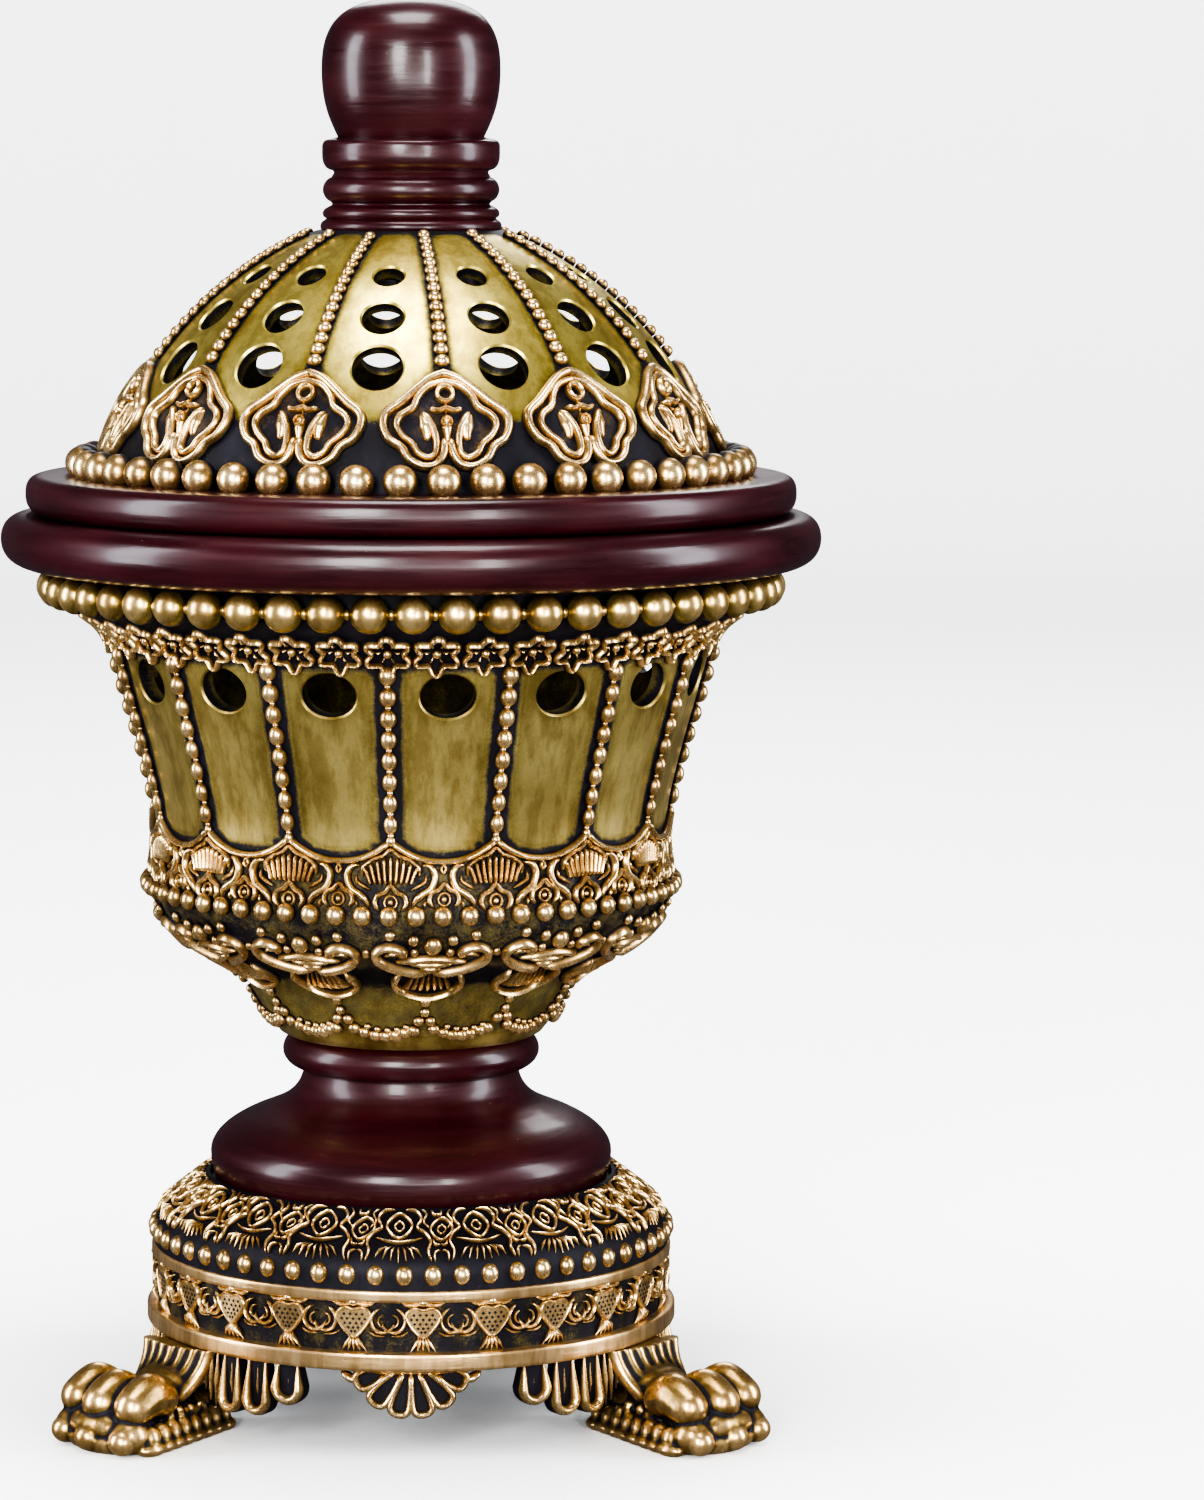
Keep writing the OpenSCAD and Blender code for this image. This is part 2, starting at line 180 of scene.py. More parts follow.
def clean(mesh, weld=0.0, outward=True):
    """Joins vertices closer than weld metres and turns the faces outward."""
    bm = bmesh.new()
    bm.from_mesh(mesh)
    if weld:
        bmesh.ops.remove_doubles(bm, verts=bm.verts, dist=weld)
    if outward:
        bmesh.ops.recalc_face_normals(bm, faces=bm.faces)
    bm.to_mesh(mesh)
    bm.free()


def strip(a, b):
    """Quads between two closed rings of vertex numbers."""
    n = len(a)
    return [[a[k], a[(k + 1) % n], b[(k + 1) % n], b[k]] for k in range(n)]


def spin(points, sides):
    """Rings of points in space from (radius, height) pairs, starting at the front."""
    angle = np.arange(sides) * 2 * math.pi / sides
    x, y = np.sin(angle), -np.cos(angle)
    return [np.stack([r * x, r * y, np.full(sides, z)], -1).tolist() for r, z in points]


def rub_evenly(obj, value):
    """Gives a whole piece the same rub."""
    values = np.full(len(obj.data.vertices), value, np.float32)
    obj.data.attributes["rub"].data.foreach_set("value", values)


class Relief:
    """Ridges, beads and plates drawn flat as (across, up, height), each point with its rub from 0 to 1."""

    def __init__(self):
        self.v, self.f, self.rub = [], [], []
        self.count = 0

    def add(self, v, f, rub):
        self.v.append(np.asarray(v, float))
        self.f.extend([[i + self.count for i in face] for face in f])
        self.rub.append(np.asarray(rub, float))
        self.count += len(v)
        return self

    def include(self, other, dx=0.0, dy=0.0, mirror=False, scale=1.0):
        """Adds another relief moved, mirrored left to right, or scaled."""
        v = np.concatenate(other.v) * [scale, scale, 1]
        if mirror:
            v = v * [-1, 1, 1]
        faces = [face[::-1] for face in other.f] if mirror else other.f
        return self.add(v + [dx, dy, 0], faces, np.concatenate(other.rub))

    def ridge(self, path, width, height=0.9, closed=False, taper=0.35, sink=0.35, base=0.0):
        """A half-round ridge along a path; its open ends thin out over a share of its length."""
        p = np.array(path, float)
        n = len(p)
        if closed:
            tangent = np.roll(p, -1, 0) - np.roll(p, 1, 0)
            size = np.ones(n)
        else:
            tangent = np.gradient(p, axis=0)
            length = np.concatenate([[0], np.cumsum(np.hypot(*np.diff(p, axis=0).T))])
            t = length / length[-1]
            size = np.clip(np.minimum(t, 1 - t) / max(taper, 1e-3), 0, 1) ** 0.5 * 0.8 + 0.2
        tangent = tangent / np.maximum(np.hypot(*tangent.T), 1e-9)[:, None]
        side = np.stack([-tangent[:, 1], tangent[:, 0]], -1)
        phi = np.radians([0, 32, 62, 90, 118, 148, 180])
        across = np.concatenate([np.cos(phi), [-0.95, 0.95]])
        up = np.concatenate([np.sin(phi), [0, 0]])
        low = np.array([0] * 7 + [1, 1])
        k = len(across)
        xy = p[:, None, :] + side[:, None, :] * (across[None, :] * size[:, None] * width / 2)[..., None]
        h = base + up[None, :] * size[:, None] * height - low[None, :] * (sink + base)
        v = np.concatenate([xy, h[..., None]], -1).reshape(-1, 3)
        rub = (np.tile(up, n) * (0.6 + 0.4 * np.repeat(size, k))) ** 0.85
        rings = [list(range(i * k, i * k + k)) for i in range(n)]
        f = []
        for a, b in zip(rings, rings[1:] + rings[:1] if closed else rings[1:]):
            f += strip(a, b)
        if not closed:
            f += [rings[0][::-1], rings[-1]]
        return self.add(v, f, rub)

    def stroke(self, side, points, width, height=0.9, **more):
        """A ridge along a smooth curve through the points, mirrored left to right where side is -1."""
        return self.ridge(flowing([(x * side, y) for x, y in points]), width, height, **more)

    def bead(self, x, y, rx, ry, rh, lift=0.0, around=14, rows=8, dark=0.75):
        """A round or oval bead centred at height lift."""
        lat = np.linspace(-math.pi / 2, math.pi / 2, rows + 1)[1:-1]
        lon = np.arange(around) * 2 * math.pi / around
        v = [(x, y, lift - rh)]
        for a in lat:
            v.extend((x + rx * math.cos(a) * math.cos(b), y + ry * math.cos(a) * math.sin(b),
                      lift + rh * math.sin(a)) for b in lon)
        v.append((x, y, lift + rh))
        rings = [list(range(1 + i * around, 1 + (i + 1) * around)) for i in range(len(lat))]
        f = [[0, 1 + (k + 1) % around, 1 + k] for k in range(around)]
        for a, b in zip(rings, rings[1:]):
            f += strip(a, b)
        f += [[a, b, len(v) - 1] for a, b in zip(rings[-1], rings[-1][1:] + rings[-1][:1])]
        h = np.array([p[2] for p in v])
        rub = np.clip((h - (lift - rh) - dark * rh) / (1.1 * rh), 0, 1)
        return self.add(v, f, rub)

    def plate(self, border, height, spacing=1.4, sink=0.3, bright=0.2):
        """A flat-topped plate filling a closed border, with inner points so that it can wrap."""
        border = np.array(border, float)
        lo, hi = border.min(0), border.max(0)
        grid = [(x, y) for x in np.arange(lo[0], hi[0], spacing) for y in np.arange(lo[1], hi[1], spacing)
                if inside(border, x, y, 0.3 * spacing)]
        n = len(border)
        points = border.tolist() + grid
        edges = [(i, (i + 1) % n) for i in range(n)]
        flat, _, tris, *_ = delaunay_2d_cdt([tuple(p) for p in points], edges, [], 1, 1e-5)
        flat = np.array([tuple(p) for p in flat])
        m = len(flat)
        v = np.concatenate([np.c_[flat, np.full(m, height)], np.c_[flat, np.full(m, -sink)]])
        f = [list(t) for t in tris] + [[i + m for i in t[::-1]] for t in tris]
        f += [[i, i + m, (i + 1) % n + m, (i + 1) % n] for i in range(n)]
        return self.add(v, f, np.concatenate([np.full(m, bright), np.zeros(m)]))

    def wrapped(self, name, outline, placements, wobble=0.0):
        """One mesh with the relief at each (angle, distance up the outline)."""
        v = np.concatenate(self.v)
        rub = np.concatenate(self.rub)
        verts, faces, bright = [], [], []
        for i, (angle, s0) in enumerate(placements):
            size = 1 + wobble * rng.uniform(-1, 1)
            turn = angle + wobble * rng.uniform(-1, 1)
            verts.append(outline.wrap(v[:, 0] * size, s0 + v[:, 1] * size, v[:, 2], turn))
            faces.extend([[k + i * len(v) for k in face] for face in self.f])
            bright.append(rub)
        obj = new_object(name, np.concatenate(verts), faces, np.concatenate(bright), sharp=60)
        clean(obj.data)
        return obj

    def all_round(self, name, outline, start, count, phase, wobble, node, body="stand", material=None):
        """A finished gilt piece: the relief count times round the axis, from start mm up the outline."""
        obj = self.wrapped(name, outline, [(a, start) for a in ring_of(count, phase)], wobble)
        settle(obj, body, material or RELIEF, "relief_gold", node)


def inside(border, x, y, margin=0.0):
    """Whether (x, y) is inside a closed border and at least margin from it."""
    a, b = border, np.roll(border, -1, 0)
    cross = (a[:, 1] > y) != (b[:, 1] > y)
    with np.errstate(divide="ignore", invalid="ignore"):
        at = a[:, 0] + (y - a[:, 1]) / (b[:, 1] - a[:, 1]) * (b[:, 0] - a[:, 0])
    if (cross & (x < at)).sum() % 2 == 0:
        return False
    d = b - a
    t = np.clip(((x - a[:, 0]) * d[:, 0] + (y - a[:, 1]) * d[:, 1]) / np.maximum((d ** 2).sum(1), 1e-9), 0, 1)
    gap = np.hypot(a[:, 0] + t * d[:, 0] - x, a[:, 1] + t * d[:, 1] - y)
    return gap.min() > margin


def ring_of(count, phase):
    """Evenly spaced angles round the axis, in degrees."""
    return [phase + i * 360 / count for i in range(count)]


def circle(x, y, rx, ry=None, steps=16, start=0, sweep=360):
    """Points round an ellipse, or along an arc of it when sweep is under 360."""
    ry = rx if ry is None else ry
    full = abs(sweep) >= 360
    t = np.radians(start + sweep * np.arange(steps if full else steps + 1) / steps)
    return np.stack([x + rx * np.cos(t), y + ry * np.sin(t)], -1)


def pierced(name, outline, thickness, panels, phase, holes, brightness, spacing, lip_rub=1.0, lip=0.3):
    """A turned shell with the same holes in each panel.

    holes are (distance up the outline, half width, half height), at each panel's middle.
    brightness(across, up, radius) gives how bright the outer face is; across counts from the panel's middle.
    """
    clear, halo, lip_depth = 0.9, 0.65, 0.25
    half = math.pi / panels
    width = float(outline.r.mean()) * half
    ys = np.linspace(0, outline.end, int(outline.end / spacing) + 1)
    xs = np.linspace(-width, width, max(int(2 * width / spacing), 6) + 1)

    def hole_loop(hole, grow):
        s, a, b = hole
        loop = circle(0, 0, a + grow, b + grow, 36)
        r = np.interp(s + loop[:, 1], outline.s, outline.r)
        return np.stack([loop[:, 0] / (r * half) * width, s + loop[:, 1]], -1)

    def outside(x, y, grow, limit):
        real = x / width * half * np.interp(y, outline.s, outline.r)
        return all((real / (a + grow)) ** 2 + ((y - s) / (b + grow)) ** 2 > limit for s, a, b in holes)

    points, edges = [], []
    for y in ys:
        points.extend((x, y) for x in xs if outside(x, y, clear, 1))
    loops = []
    for hole in holes:
        for grow in (lip, halo):
            loop = hole_loop(hole, grow)
            start = len(points)
            points.extend(map(tuple, loop))
            if grow == lip:
                loops.append((start, len(loop)))
                edges.extend((start + i, start + (i + 1) % len(loop)) for i in range(len(loop)))
    flat, _, tris, orig, *_ = delaunay_2d_cdt(points, edges, [], 0, 1e-6)
    flat = np.array([tuple(p) for p in flat])
    where = {}
    for new, olds in enumerate(orig):
        for old in olds:
            where[old] = new
    kept = [t for t in tris if outside(*flat[list(t)].mean(0), lip, 0.985)]

    def real_width(xy):
        return xy[:, 0] / width * half * np.interp(xy[:, 1], outline.s, outline.r)

    n = len(flat)
    rub_out = brightness(real_width(flat), flat[:, 1], np.interp(flat[:, 1], outline.s, outline.r))
    layers = [(flat, 0.0, rub_out), (flat, thickness, np.full(n, 0.35))]
    panel_faces = [list(t) for t in kept] + [[i + n for i in t[::-1]] for t in kept]
    count = 2 * n
    for (start, size), hole in zip(loops, holes):
        top = [where[start + i] for i in range(size)]
        low = hole_loop(hole, 0)
        layers.append((low, lip, np.full(size, lip_rub)))
        layers.append((low, lip + lip_depth, np.full(size, 0.1)))
        rings = [top, range(count, count + size), range(count + size, count + 2 * size), [i + n for i in top]]
        for a, b in zip(rings, rings[1:]):
            panel_faces += strip(a, b)
        count += 2 * size
    for y, flip in ((0, False), (outline.end, True)):
        rim = sorted((i for i in range(n) if abs(flat[i][1] - y) < 1e-4), key=lambda i: flat[i][0])
        for a, b in zip(rim, rim[1:]):
            face = [a, b, b + n, a + n]
            panel_faces.append(face[::-1] if flip else face)
    verts, faces, rub = [], [], []
    for i in range(panels):
        angle = phase + (i + 0.5) * 360 / panels
        for xy, depth, bright in layers:
            verts.append(outline.wrap(real_width(xy), xy[:, 1], np.full(len(xy), -depth), angle))
            rub.append(bright)
        faces.extend([[k + i * count for k in face] for face in panel_faces])
    obj = new_object(name, np.concatenate(verts), faces, np.concatenate(rub))
    clean(obj.data, weld=2e-5)
    obj.data.set_sharp_from_angle(angle=math.radians(38))
    return obj


def ease(x, low, high):
    """0 below low, 1 above high and smooth between."""
    t = np.clip((np.asarray(x, float) - low) / (high - low), 0, 1)
    return t * t * (3 - 2 * t)


# ---------------- materials

class Nodes:
    """A short way to write a node material."""

    def __init__(self, name):
        self.material = bpy.data.materials.new(name)
        self.material.use_nodes = True
        self.tree = self.material.node_tree
        self.shader = self.tree.nodes["Principled BSDF"]

    def feed(self, socket, value):
        """Links another node's output to a socket, or sets a constant straight on it."""
        if hasattr(value, "is_output"):
            self.tree.links.new(value, socket)
        else:
            socket.default_value = value

    def to(self, name, value):
        self.feed(self.shader.inputs[name], value)

    def add(self, kind, inputs=None, **settings):
        node = self.tree.nodes.new("ShaderNode" + kind)
        for key, value in settings.items():
            setattr(node, key, value)
        for key, value in (inputs or {}).items():
            self.feed(node.inputs[key], value)
        return node

    def place(self, stretch=(1, 1, 1)):
        where = self.add("TexCoord").outputs["Object"]
        return self.add("Mapping", {"Vector": where, "Scale": stretch}).outputs["Vector"]

    def noise(self, scale, detail=3, rough=0.55, stretch=(1, 1, 1)):
        return self.add("TexNoise", {"Vector": self.place(stretch), "Scale": scale, "Detail": detail,
                                     "Roughness": rough}).outputs["Fac"]

    def math(self, operation, a, b=0.0, clamp=False):
        return self.add("Math", {0: a, 1: b}, operation=operation, use_clamp=clamp).outputs[0]

    def around_zero(self, noise, amount):
        """A noise moved to swing evenly about zero."""
        return self.math("MULTIPLY", self.math("SUBTRACT", noise, 0.5), amount)

    def ramp(self, fac, stops):
        node = self.add("ValToRGB", {"Fac": fac})
        cr = node.color_ramp
        while len(cr.elements) < len(stops):
            cr.elements.new(0.5)
        for element, (at, colour) in zip(cr.elements, stops):
            element.position = at
            element.color = (*colour, 1)
        return node.outputs["Color"]

    def grey(self, fac, *stops):
        return self.ramp(fac, [(at, (v, v, v)) for at, v in stops])

    def mix(self, fac, a, b, blend="MIX"):
        node = self.add("Mix", {"Factor": fac}, data_type="RGBA", blend_type=blend)
        for socket, value in ((node.inputs[6], a), (node.inputs[7], b)):
            self.feed(socket, (*value, 1) if isinstance(value, tuple) else value)
        return node.outputs[2]

    def bump(self, height, distance, strength=1.0, under=None):
        inputs = {"Height": height, "Distance": distance, "Strength": strength}
        if under is not None:
            inputs["Normal"] = under
        return self.add("Bump", inputs).outputs["Normal"]


PATINA = (0.010, 0.009, 0.014)


def gilt(name, bright, middle, roughness, speckle, shift=0.0, brush=None):
    """Antiqued gilt: bright where rubbed, dark where the patina stays in the recesses."""
    m = Nodes(name)
    rub = m.add("Attribute", attribute_name="rub").outputs["Fac"]
    blotch = m.noise(260, 4, 0.6)
    fine = m.noise(2600, 2, 0.6)
    worn = m.math("ADD", rub, m.around_zero(blotch, 0.12 + speckle))
    worn = m.math("ADD", worn, m.around_zero(fine, speckle))
    worn = m.math("ADD", worn, shift, clamp=True)
    shaded = tuple(c * 0.30 for c in middle)
    colour = m.ramp(worn, [(0.24, PATINA), (0.42, shaded), (0.64, middle), (0.95, bright)])
    tone = m.noise(90, 2, 0.5)
    colour = m.mix(m.grey(tone, (0.35, 0.0), (0.7, 1.0)), colour, (0.70, 0.66, 0.60), "MULTIPLY")
    scuff = m.noise(330, 3, 0.7, (1, 1, 0.2))
    colour = m.mix(m.grey(scuff, (0.42, 1.0), (0.56, 0.0)), colour, (0.74, 0.70, 0.66), "MULTIPLY")
    m.to("Base Color", colour)
    m.to("Metallic", m.grey(worn, (0.2, 0.3), (0.55, 0.95)))
    dull = m.grey(worn, (0.2, 0.22), (0.7, 0.0))
    m.to("Roughness", m.math("ADD", dull, m.math("ADD", roughness, m.around_zero(fine, 0.1))))
    m.to("Specular IOR Level", 0.2)
    height = m.math("ADD", m.math("MULTIPLY", fine, 0.5), blotch)
    normal = m.bump(height, 0.00005, 0.6)
    if brush:
        streaks = m.noise(900, 3, 0.6, brush)
        normal = m.bump(streaks, 0.0001, 0.55, normal)
    m.to("Normal", normal)
    return m.material


def dark_wood(name):
    """Dark mahogany lacquer with fine turning marks and a few specks."""
    m = Nodes(name)
    rings = m.noise(700, 4, 0.65, (0.06, 0.06, 1))
    cloud = m.noise(45, 3, 0.5, (1, 1, 2.5))
    specks = m.noise(1500, 1, 0.4)
    base = m.mix(m.grey(cloud, (0.3, 0.0), (0.72, 1.0)), (0.0115, 0.0010, 0.0018), (0.025, 0.0021, 0.0038))
    base = m.mix(m.grey(rings, (0.45, 0.0), (0.75, 0.4)), base, (0.045, 0.0050, 0.0080))
    base = m.mix(m.grey(specks, (0.80, 0.0), (0.83, 0.5)), base, (0.20, 0.11, 0.10))
    m.to("Base Color", base)
    ring_gloss = m.grey(rings, (0.3, 0.24), (0.75, 0.38))
    m.to("Roughness", m.math("ADD", ring_gloss, m.grey(cloud, (0.3, 0.0), (0.7, 0.06))))
    m.to("Coat Weight", 0.2)
    m.to("Coat Roughness", 0.14)
    m.to("Specular IOR Level", 0.34)
    normal = m.bump(rings, 0.00022, 0.4)
    m.to("Normal", m.bump(cloud, 0.0006, 0.3, normal))
    return m.material


def polished_brass(name):
    m = Nodes(name)
    fine = m.noise(1800, 3, 0.6, (0.05, 0.05, 1))
    cloud = m.noise(60, 3, 0.5)
    m.to("Base Color", m.mix(m.grey(cloud, (0.3, 0.0), (0.7, 0.6)), (0.90, 0.56, 0.09), (0.95, 0.66, 0.16)))
    m.to("Metallic", 1.0)
    m.to("Roughness", m.math("ADD", 0.08, m.math("MULTIPLY", fine, 0.16)))
    m.to("Normal", m.bump(fine, 0.00003, 0.35))
    return m.material


def spun_metal(name, colour, roughness, stretch=(0.04, 0.04, 1)):
    m = Nodes(name)
    rings = m.noise(1400, 3, 0.6, stretch)
    cloud = m.noise(70, 3, 0.5)
    dull = tuple(c * 0.72 for c in colour)
    m.to("Base Color", m.mix(m.grey(cloud, (0.35, 0.0), (0.7, 0.7)), colour, dull))
    m.to("Metallic", 1.0)
    m.to("Roughness", m.math("ADD", roughness, m.math("MULTIPLY", rings, 0.2)))
    m.to("Normal", m.bump(rings, 0.00008, 0.4))
    return m.material


def pale_floor(name):
    m = Nodes(name)
    grain = m.noise(500, 2, 0.5)
    m.to("Base Color", m.grey(grain, (0.3, 0.88), (0.7, 0.92)))
    m.to("Roughness", 0.6)
    m.to("Normal", m.bump(grain, 0.00005, 0.1))
    m.to("Emission Color", (1.0, 1.0, 1.0, 1))
    # Painted shadow: the floor glows to stay pale, and its glow drops from 0.5 to 0.05 between 0.20 m and
    # 0.05 m from the object's axis.
    where = m.add("TexCoord").outputs["Object"]
    away = m.add("VectorMath", {0: where}, operation="LENGTH").outputs["Value"]
    glow_with_painted_shadow = m.add("MapRange", {"Value": away, 1: 0.05, 2: 0.20, 3: 0.05, 4: 0.5}).outputs["Result"]
    m.to("Emission Strength", glow_with_painted_shadow)
    return m.material


WOOD = dark_wood("dark_mahogany")
PANEL = gilt("antique_gold_dome", (0.76, 0.62, 0.17), (0.50, 0.40, 0.09), 0.33, 0.3, shift=0.04)
BOWL_PANEL = gilt("antique_gold_bowl", (0.78, 0.62, 0.23), (0.53, 0.415, 0.135), 0.35, 0.3, shift=0.04)
RELIEF = gilt("rubbed_gold_relief", (1.0, 0.73, 0.37), (0.64, 0.41, 0.165), 0.28, 0.12)
RIM_GOLD = gilt("rim_bead_gold", (0.92, 0.67, 0.29), (0.46, 0.335, 0.10), 0.3, 0.25)
BAND = gilt("brushed_gold_band", (1.0, 0.70, 0.36), (0.70, 0.46, 0.20), 0.3, 0.04, brush=(0.1, 0.1, 1))
FOOT = gilt("foot_gold", (0.96, 0.65, 0.29), (0.46, 0.30, 0.10), 0.29, 0.14)
BRASS = polished_brass("polished_gilt_brass")
LINER = spun_metal("spun_aluminium", (0.76, 0.76, 0.77), 0.26)
STEEL = spun_metal("zinc_steel", (0.60, 0.61, 0.63), 0.3, (1, 1, 1))
FLOOR = pale_floor("pale_floor")


# ---------------- camera, lights, floor

CAMERA_Y, CAMERA_Z, TILT = -0.897, 0.215, 6.5
LENS, SHIFT = 127, 0.1273
camera_data = bpy.data.cameras.new("camera")
camera_data.lens = LENS
camera_data.shift_x = SHIFT
camera = bpy.data.objects.new("camera", camera_data)
camera.location = (0, CAMERA_Y, CAMERA_Z)
camera.rotation_euler = (math.radians(90 - TILT), 0, 0)
bpy.context.scene.collection.objects.link(camera)
bpy.context.scene.camera = camera


def softbox(name, place, aim, size, power, colour=(1, 1, 1)):
    light = bpy.data.lights.new(name, "AREA")
    light.shape = "RECTANGLE"
    light.size, light.size_y = size
    light.energy = power
    light.color = colour
    obj = bpy.data.objects.new(name, light)
    obj.location = place
    obj.rotation_euler = (Vector(aim) - Vector(place)).to_track_quat("-Z", "Y").to_euler()
    bpy.context.scene.collection.objects.link(obj)


MIDDLE = (0, 0, 0.12)
softbox("key", (-0.32, -1.15, 0.45), MIDDLE, (0.30, 0.55), 16)
softbox("low_front", (0.05, -1.2, 0.11), (0, 0, 0.07), (0.9, 0.16), 4)
softbox("front_right", (0.42, -1.1, 0.30), MIDDLE, (0.14, 0.50), 7)
for side_name, side_x in (("left", -1.0), ("right", 1.0)):
    softbox(side_name, (side_x, -0.15, 0.35), MIDDLE, (0.30, 0.9), 12, (0.90, 0.93, 1.0))
softbox("back", (0.1, 1.1, 0.75), MIDDLE, (0.6, 0.4), 4)
softbox("top", (0, -0.1, 1.15), MIDDLE, (0.5, 0.5), 12)

world = bpy.data.worlds.new("studio")
world.use_nodes = True
sky = world.node_tree.nodes["Background"].inputs
sky["Color"].default_value = (0.80, 0.84, 1.0, 1)
sky["Strength"].default_value = 0.10
bpy.context.scene.world = world
bpy.context.scene.view_settings.look = "AgX - High Contrast"


def sweep():
    """A round pale floor that curves up into a wall on every side, kept out of the gloss of the metal."""
    flat, bend, high = 1.7, 0.6, 3.0
    curve = [(flat + bend * math.sin(a), bend - bend * math.cos(a)) for a in np.linspace(0, math.pi / 2, 14)]
    outline = [(0, 0)] + curve + [(flat + bend, high)]
    sides = 96
    angle = np.arange(sides) * 2 * math.pi / sides
    verts = [(r * math.cos(a), r * math.sin(a), z) for r, z in outline[1:] for a in angle] + [(0, 0, 0)]
    centre = len(verts) - 1
    faces = [[centre, k, (k + 1) % sides] for k in range(sides)]
    for i in range(len(outline) - 2):
        for k in range(sides):
            m = (k + 1) % sides
            faces.append([i * sides + k, (i + 1) * sides + k, (i + 1) * sides + m, i * sides + m])
    obj = new_object("floor", np.array(verts) / MM, faces)
    obj.data.materials.append(FLOOR)
    obj.visible_glossy = False


sweep()

# ---------------- turned wood

SEAM = top_of("rim_ring")
KNOB_Z = foot_of("knob")
KNOB_TOP = top_of("knob")
PLATE = foot_of("pedestal")
BOWL_Z = top_of("pedestal")
STUD_R, ROD_R = 2.5, 3.15


def knob():
    z = KNOB_Z
    base = joined([(STUD_R, z), (15.1, z)],
                  bezier((15.1, z), (15.5, z + 0.2), (15.4, z + 1.3), (14.6, z + 1.6), 6),
                  bezier((14.3, z + 1.9), (15.1, z + 2.0), (15.2, z + 3.3), (14.2, z + 3.7), 6))
    step = bezier((13.4, z + 4.1), (13.2, z + 4.3), (13.3, z + 4.5), (13.6, z + 4.6), 4)
    torus = circle(12.75, z + 6.7, 2.15, 2.2, 14, -72, 144)
    ring = joined([(13.0, z + 9.5)],
                  bezier((13.2, z + 9.9), (14.6, z + 10.1), (15.0, z + 11.2), (15.0, z + 12.6), 8),
                  bezier((15.0, z + 13.8), (15.0, z + 14.7), (14.6, z + 15.1), (13.4, z + 15.2), 6))
    bulb = joined(bezier((12.35, z + 15.5), (13.3, z + 17.6), (15.06, z + 20.6), (15.06, z + 26.4), 16),
                  bezier((15.06, z + 27.2), (15.06, KNOB_TOP - 2.5), (9.7, KNOB_TOP), (0, KNOB_TOP), 22))
    obj = turned("turned_knob", joined(base, step, torus, ring, bulb, [(0, z + 21), (STUD_R, z + 20.5)]))
    settle(obj, "lid", WOOD, "dark_wood", "knob")


def lid_flange():
    z0, z1 = SEAM, top_of("lid_flange")
    outer = joined(bezier((62.0, z0), (64.6, z0 + 0.1), (65.3, z0 + 1.6), (65.3, z0 + 3.4), 10),
                   bezier((65.3, z0 + 3.4), (65.3, z1 - 0.9), (64.5, z1), (62.4, z1), 10))
    seat = [(53.0, z1), (53.0, z1 - 2), (49.5, z1 - 2)]
    obj = turned("turned_lid_flange", joined([(49.5, z0)], outer, seat), FINE_SIDES)
    settle(obj, "lid", WOOD, "dark_wood", "lid_flange")


def rim_ring():
    z0, z1 = foot_of("rim_ring"), SEAM
    outer = joined(bezier((63.6, z0 + 0.05), (67.6, z0 + 0.2), (69.5, z0 + 2.1), (69.5, z0 + 4.9), 12),
                   bezier((69.5, z0 + 4.9), (69.5, z1 - 1.4), (67.8, z1), (65.2, z1), 12))
    obj = turned("turned_rim_ring", joined([(57.42, z0)], outer, [(57.42, z1)]), FINE_SIDES)
    settle(obj, "stand", WOOD, "dark_wood", "rim_ring")


def pedestal():
    z = PLATE
    shoulder = joined(bezier((33.4, z), (33.9, z + 1.5), (34.4, z + 3.4), (34.4, z + 4.5), 8),
                      bezier((34.4, z + 4.5), (34.75, z + 7.4), (32.0, z + 9.6), (28.0, z + 11.4), 14))
    cove = bezier((28.0, z + 11.4), (23.0, z + 13.4), (19.4, z + 14.6), (18.5, z + 18.9), 16)
    collar = bezier((18.3, z + 19.5), (21.9, z + 20.0), (23.3, z + 22.9), (20.5, BOWL_Z - 0.2), 14)
    top = [(20.2, BOWL_Z), (ROD_R, BOWL_Z)]
    obj = turned("turned_pedestal", joined([(ROD_R, z)], shoulder, cove, collar, top))
    settle(obj, "stand", WOOD, "dark_wood", "pedestal")


# ---------------- dome

DOME_CENTRE, DOME_ARC = (-8.15, 141.7), 64.1
DOME_PANELS, DOME_PHASE = 13, 6.6
SMOKE_HOLES = [(194.1, 2.55), (187.6, 3.5), (179.8, 4.25)]
DOME_FOOT = foot_of("dome_shell")


def dome_outline():
    low = math.asin((DOME_FOOT + 3 - DOME_CENTRE[1]) / DOME_ARC)
    high = math.asin((KNOB_Z - DOME_CENTRE[1]) / DOME_ARC)
    arc = [(DOME_CENTRE[0] + DOME_ARC * math.cos(a), DOME_CENTRE[1] + DOME_ARC * math.sin(a))
           for a in np.linspace(low, high, 60)]
    return Outline(joined([(53.0, DOME_FOOT)], arc, [(3.0, KNOB_Z + 0.02)]))


DOME = dome_outline()


def dome_shell():
    """The dome, bright inside each panel and dark beside the ribs and behind the medallions."""
    rim = DOME.length_at(201.0)
    medal_top = DOME.length_at(180.5)
    medal_low = DOME.length_at(172.5)

    def brightness(across, up, radius):
        edge = radius * math.pi / DOME_PANELS - np.abs(across)
        gold = ease(edge, 0.8, 2.9) * ease(rim - up, 0.4, 3.0)
        arch = medal_low + (medal_top - medal_low) * ease(np.abs(across) / radius, 0.02, 0.24)
        gold = gold * ease(up - arch, -2.4, 1.6)
        return 0.13 + 0.75 * gold

    holes = [(DOME.length_at(z), r, r) for z, r in SMOKE_HOLES]
    obj = pierced("dome_pierced_shell", DOME, 2.4, DOME_PANELS, DOME_PHASE, holes, brightness, 0.95)
    settle(obj, "lid", PANEL, "panel_gold", "dome_shell")


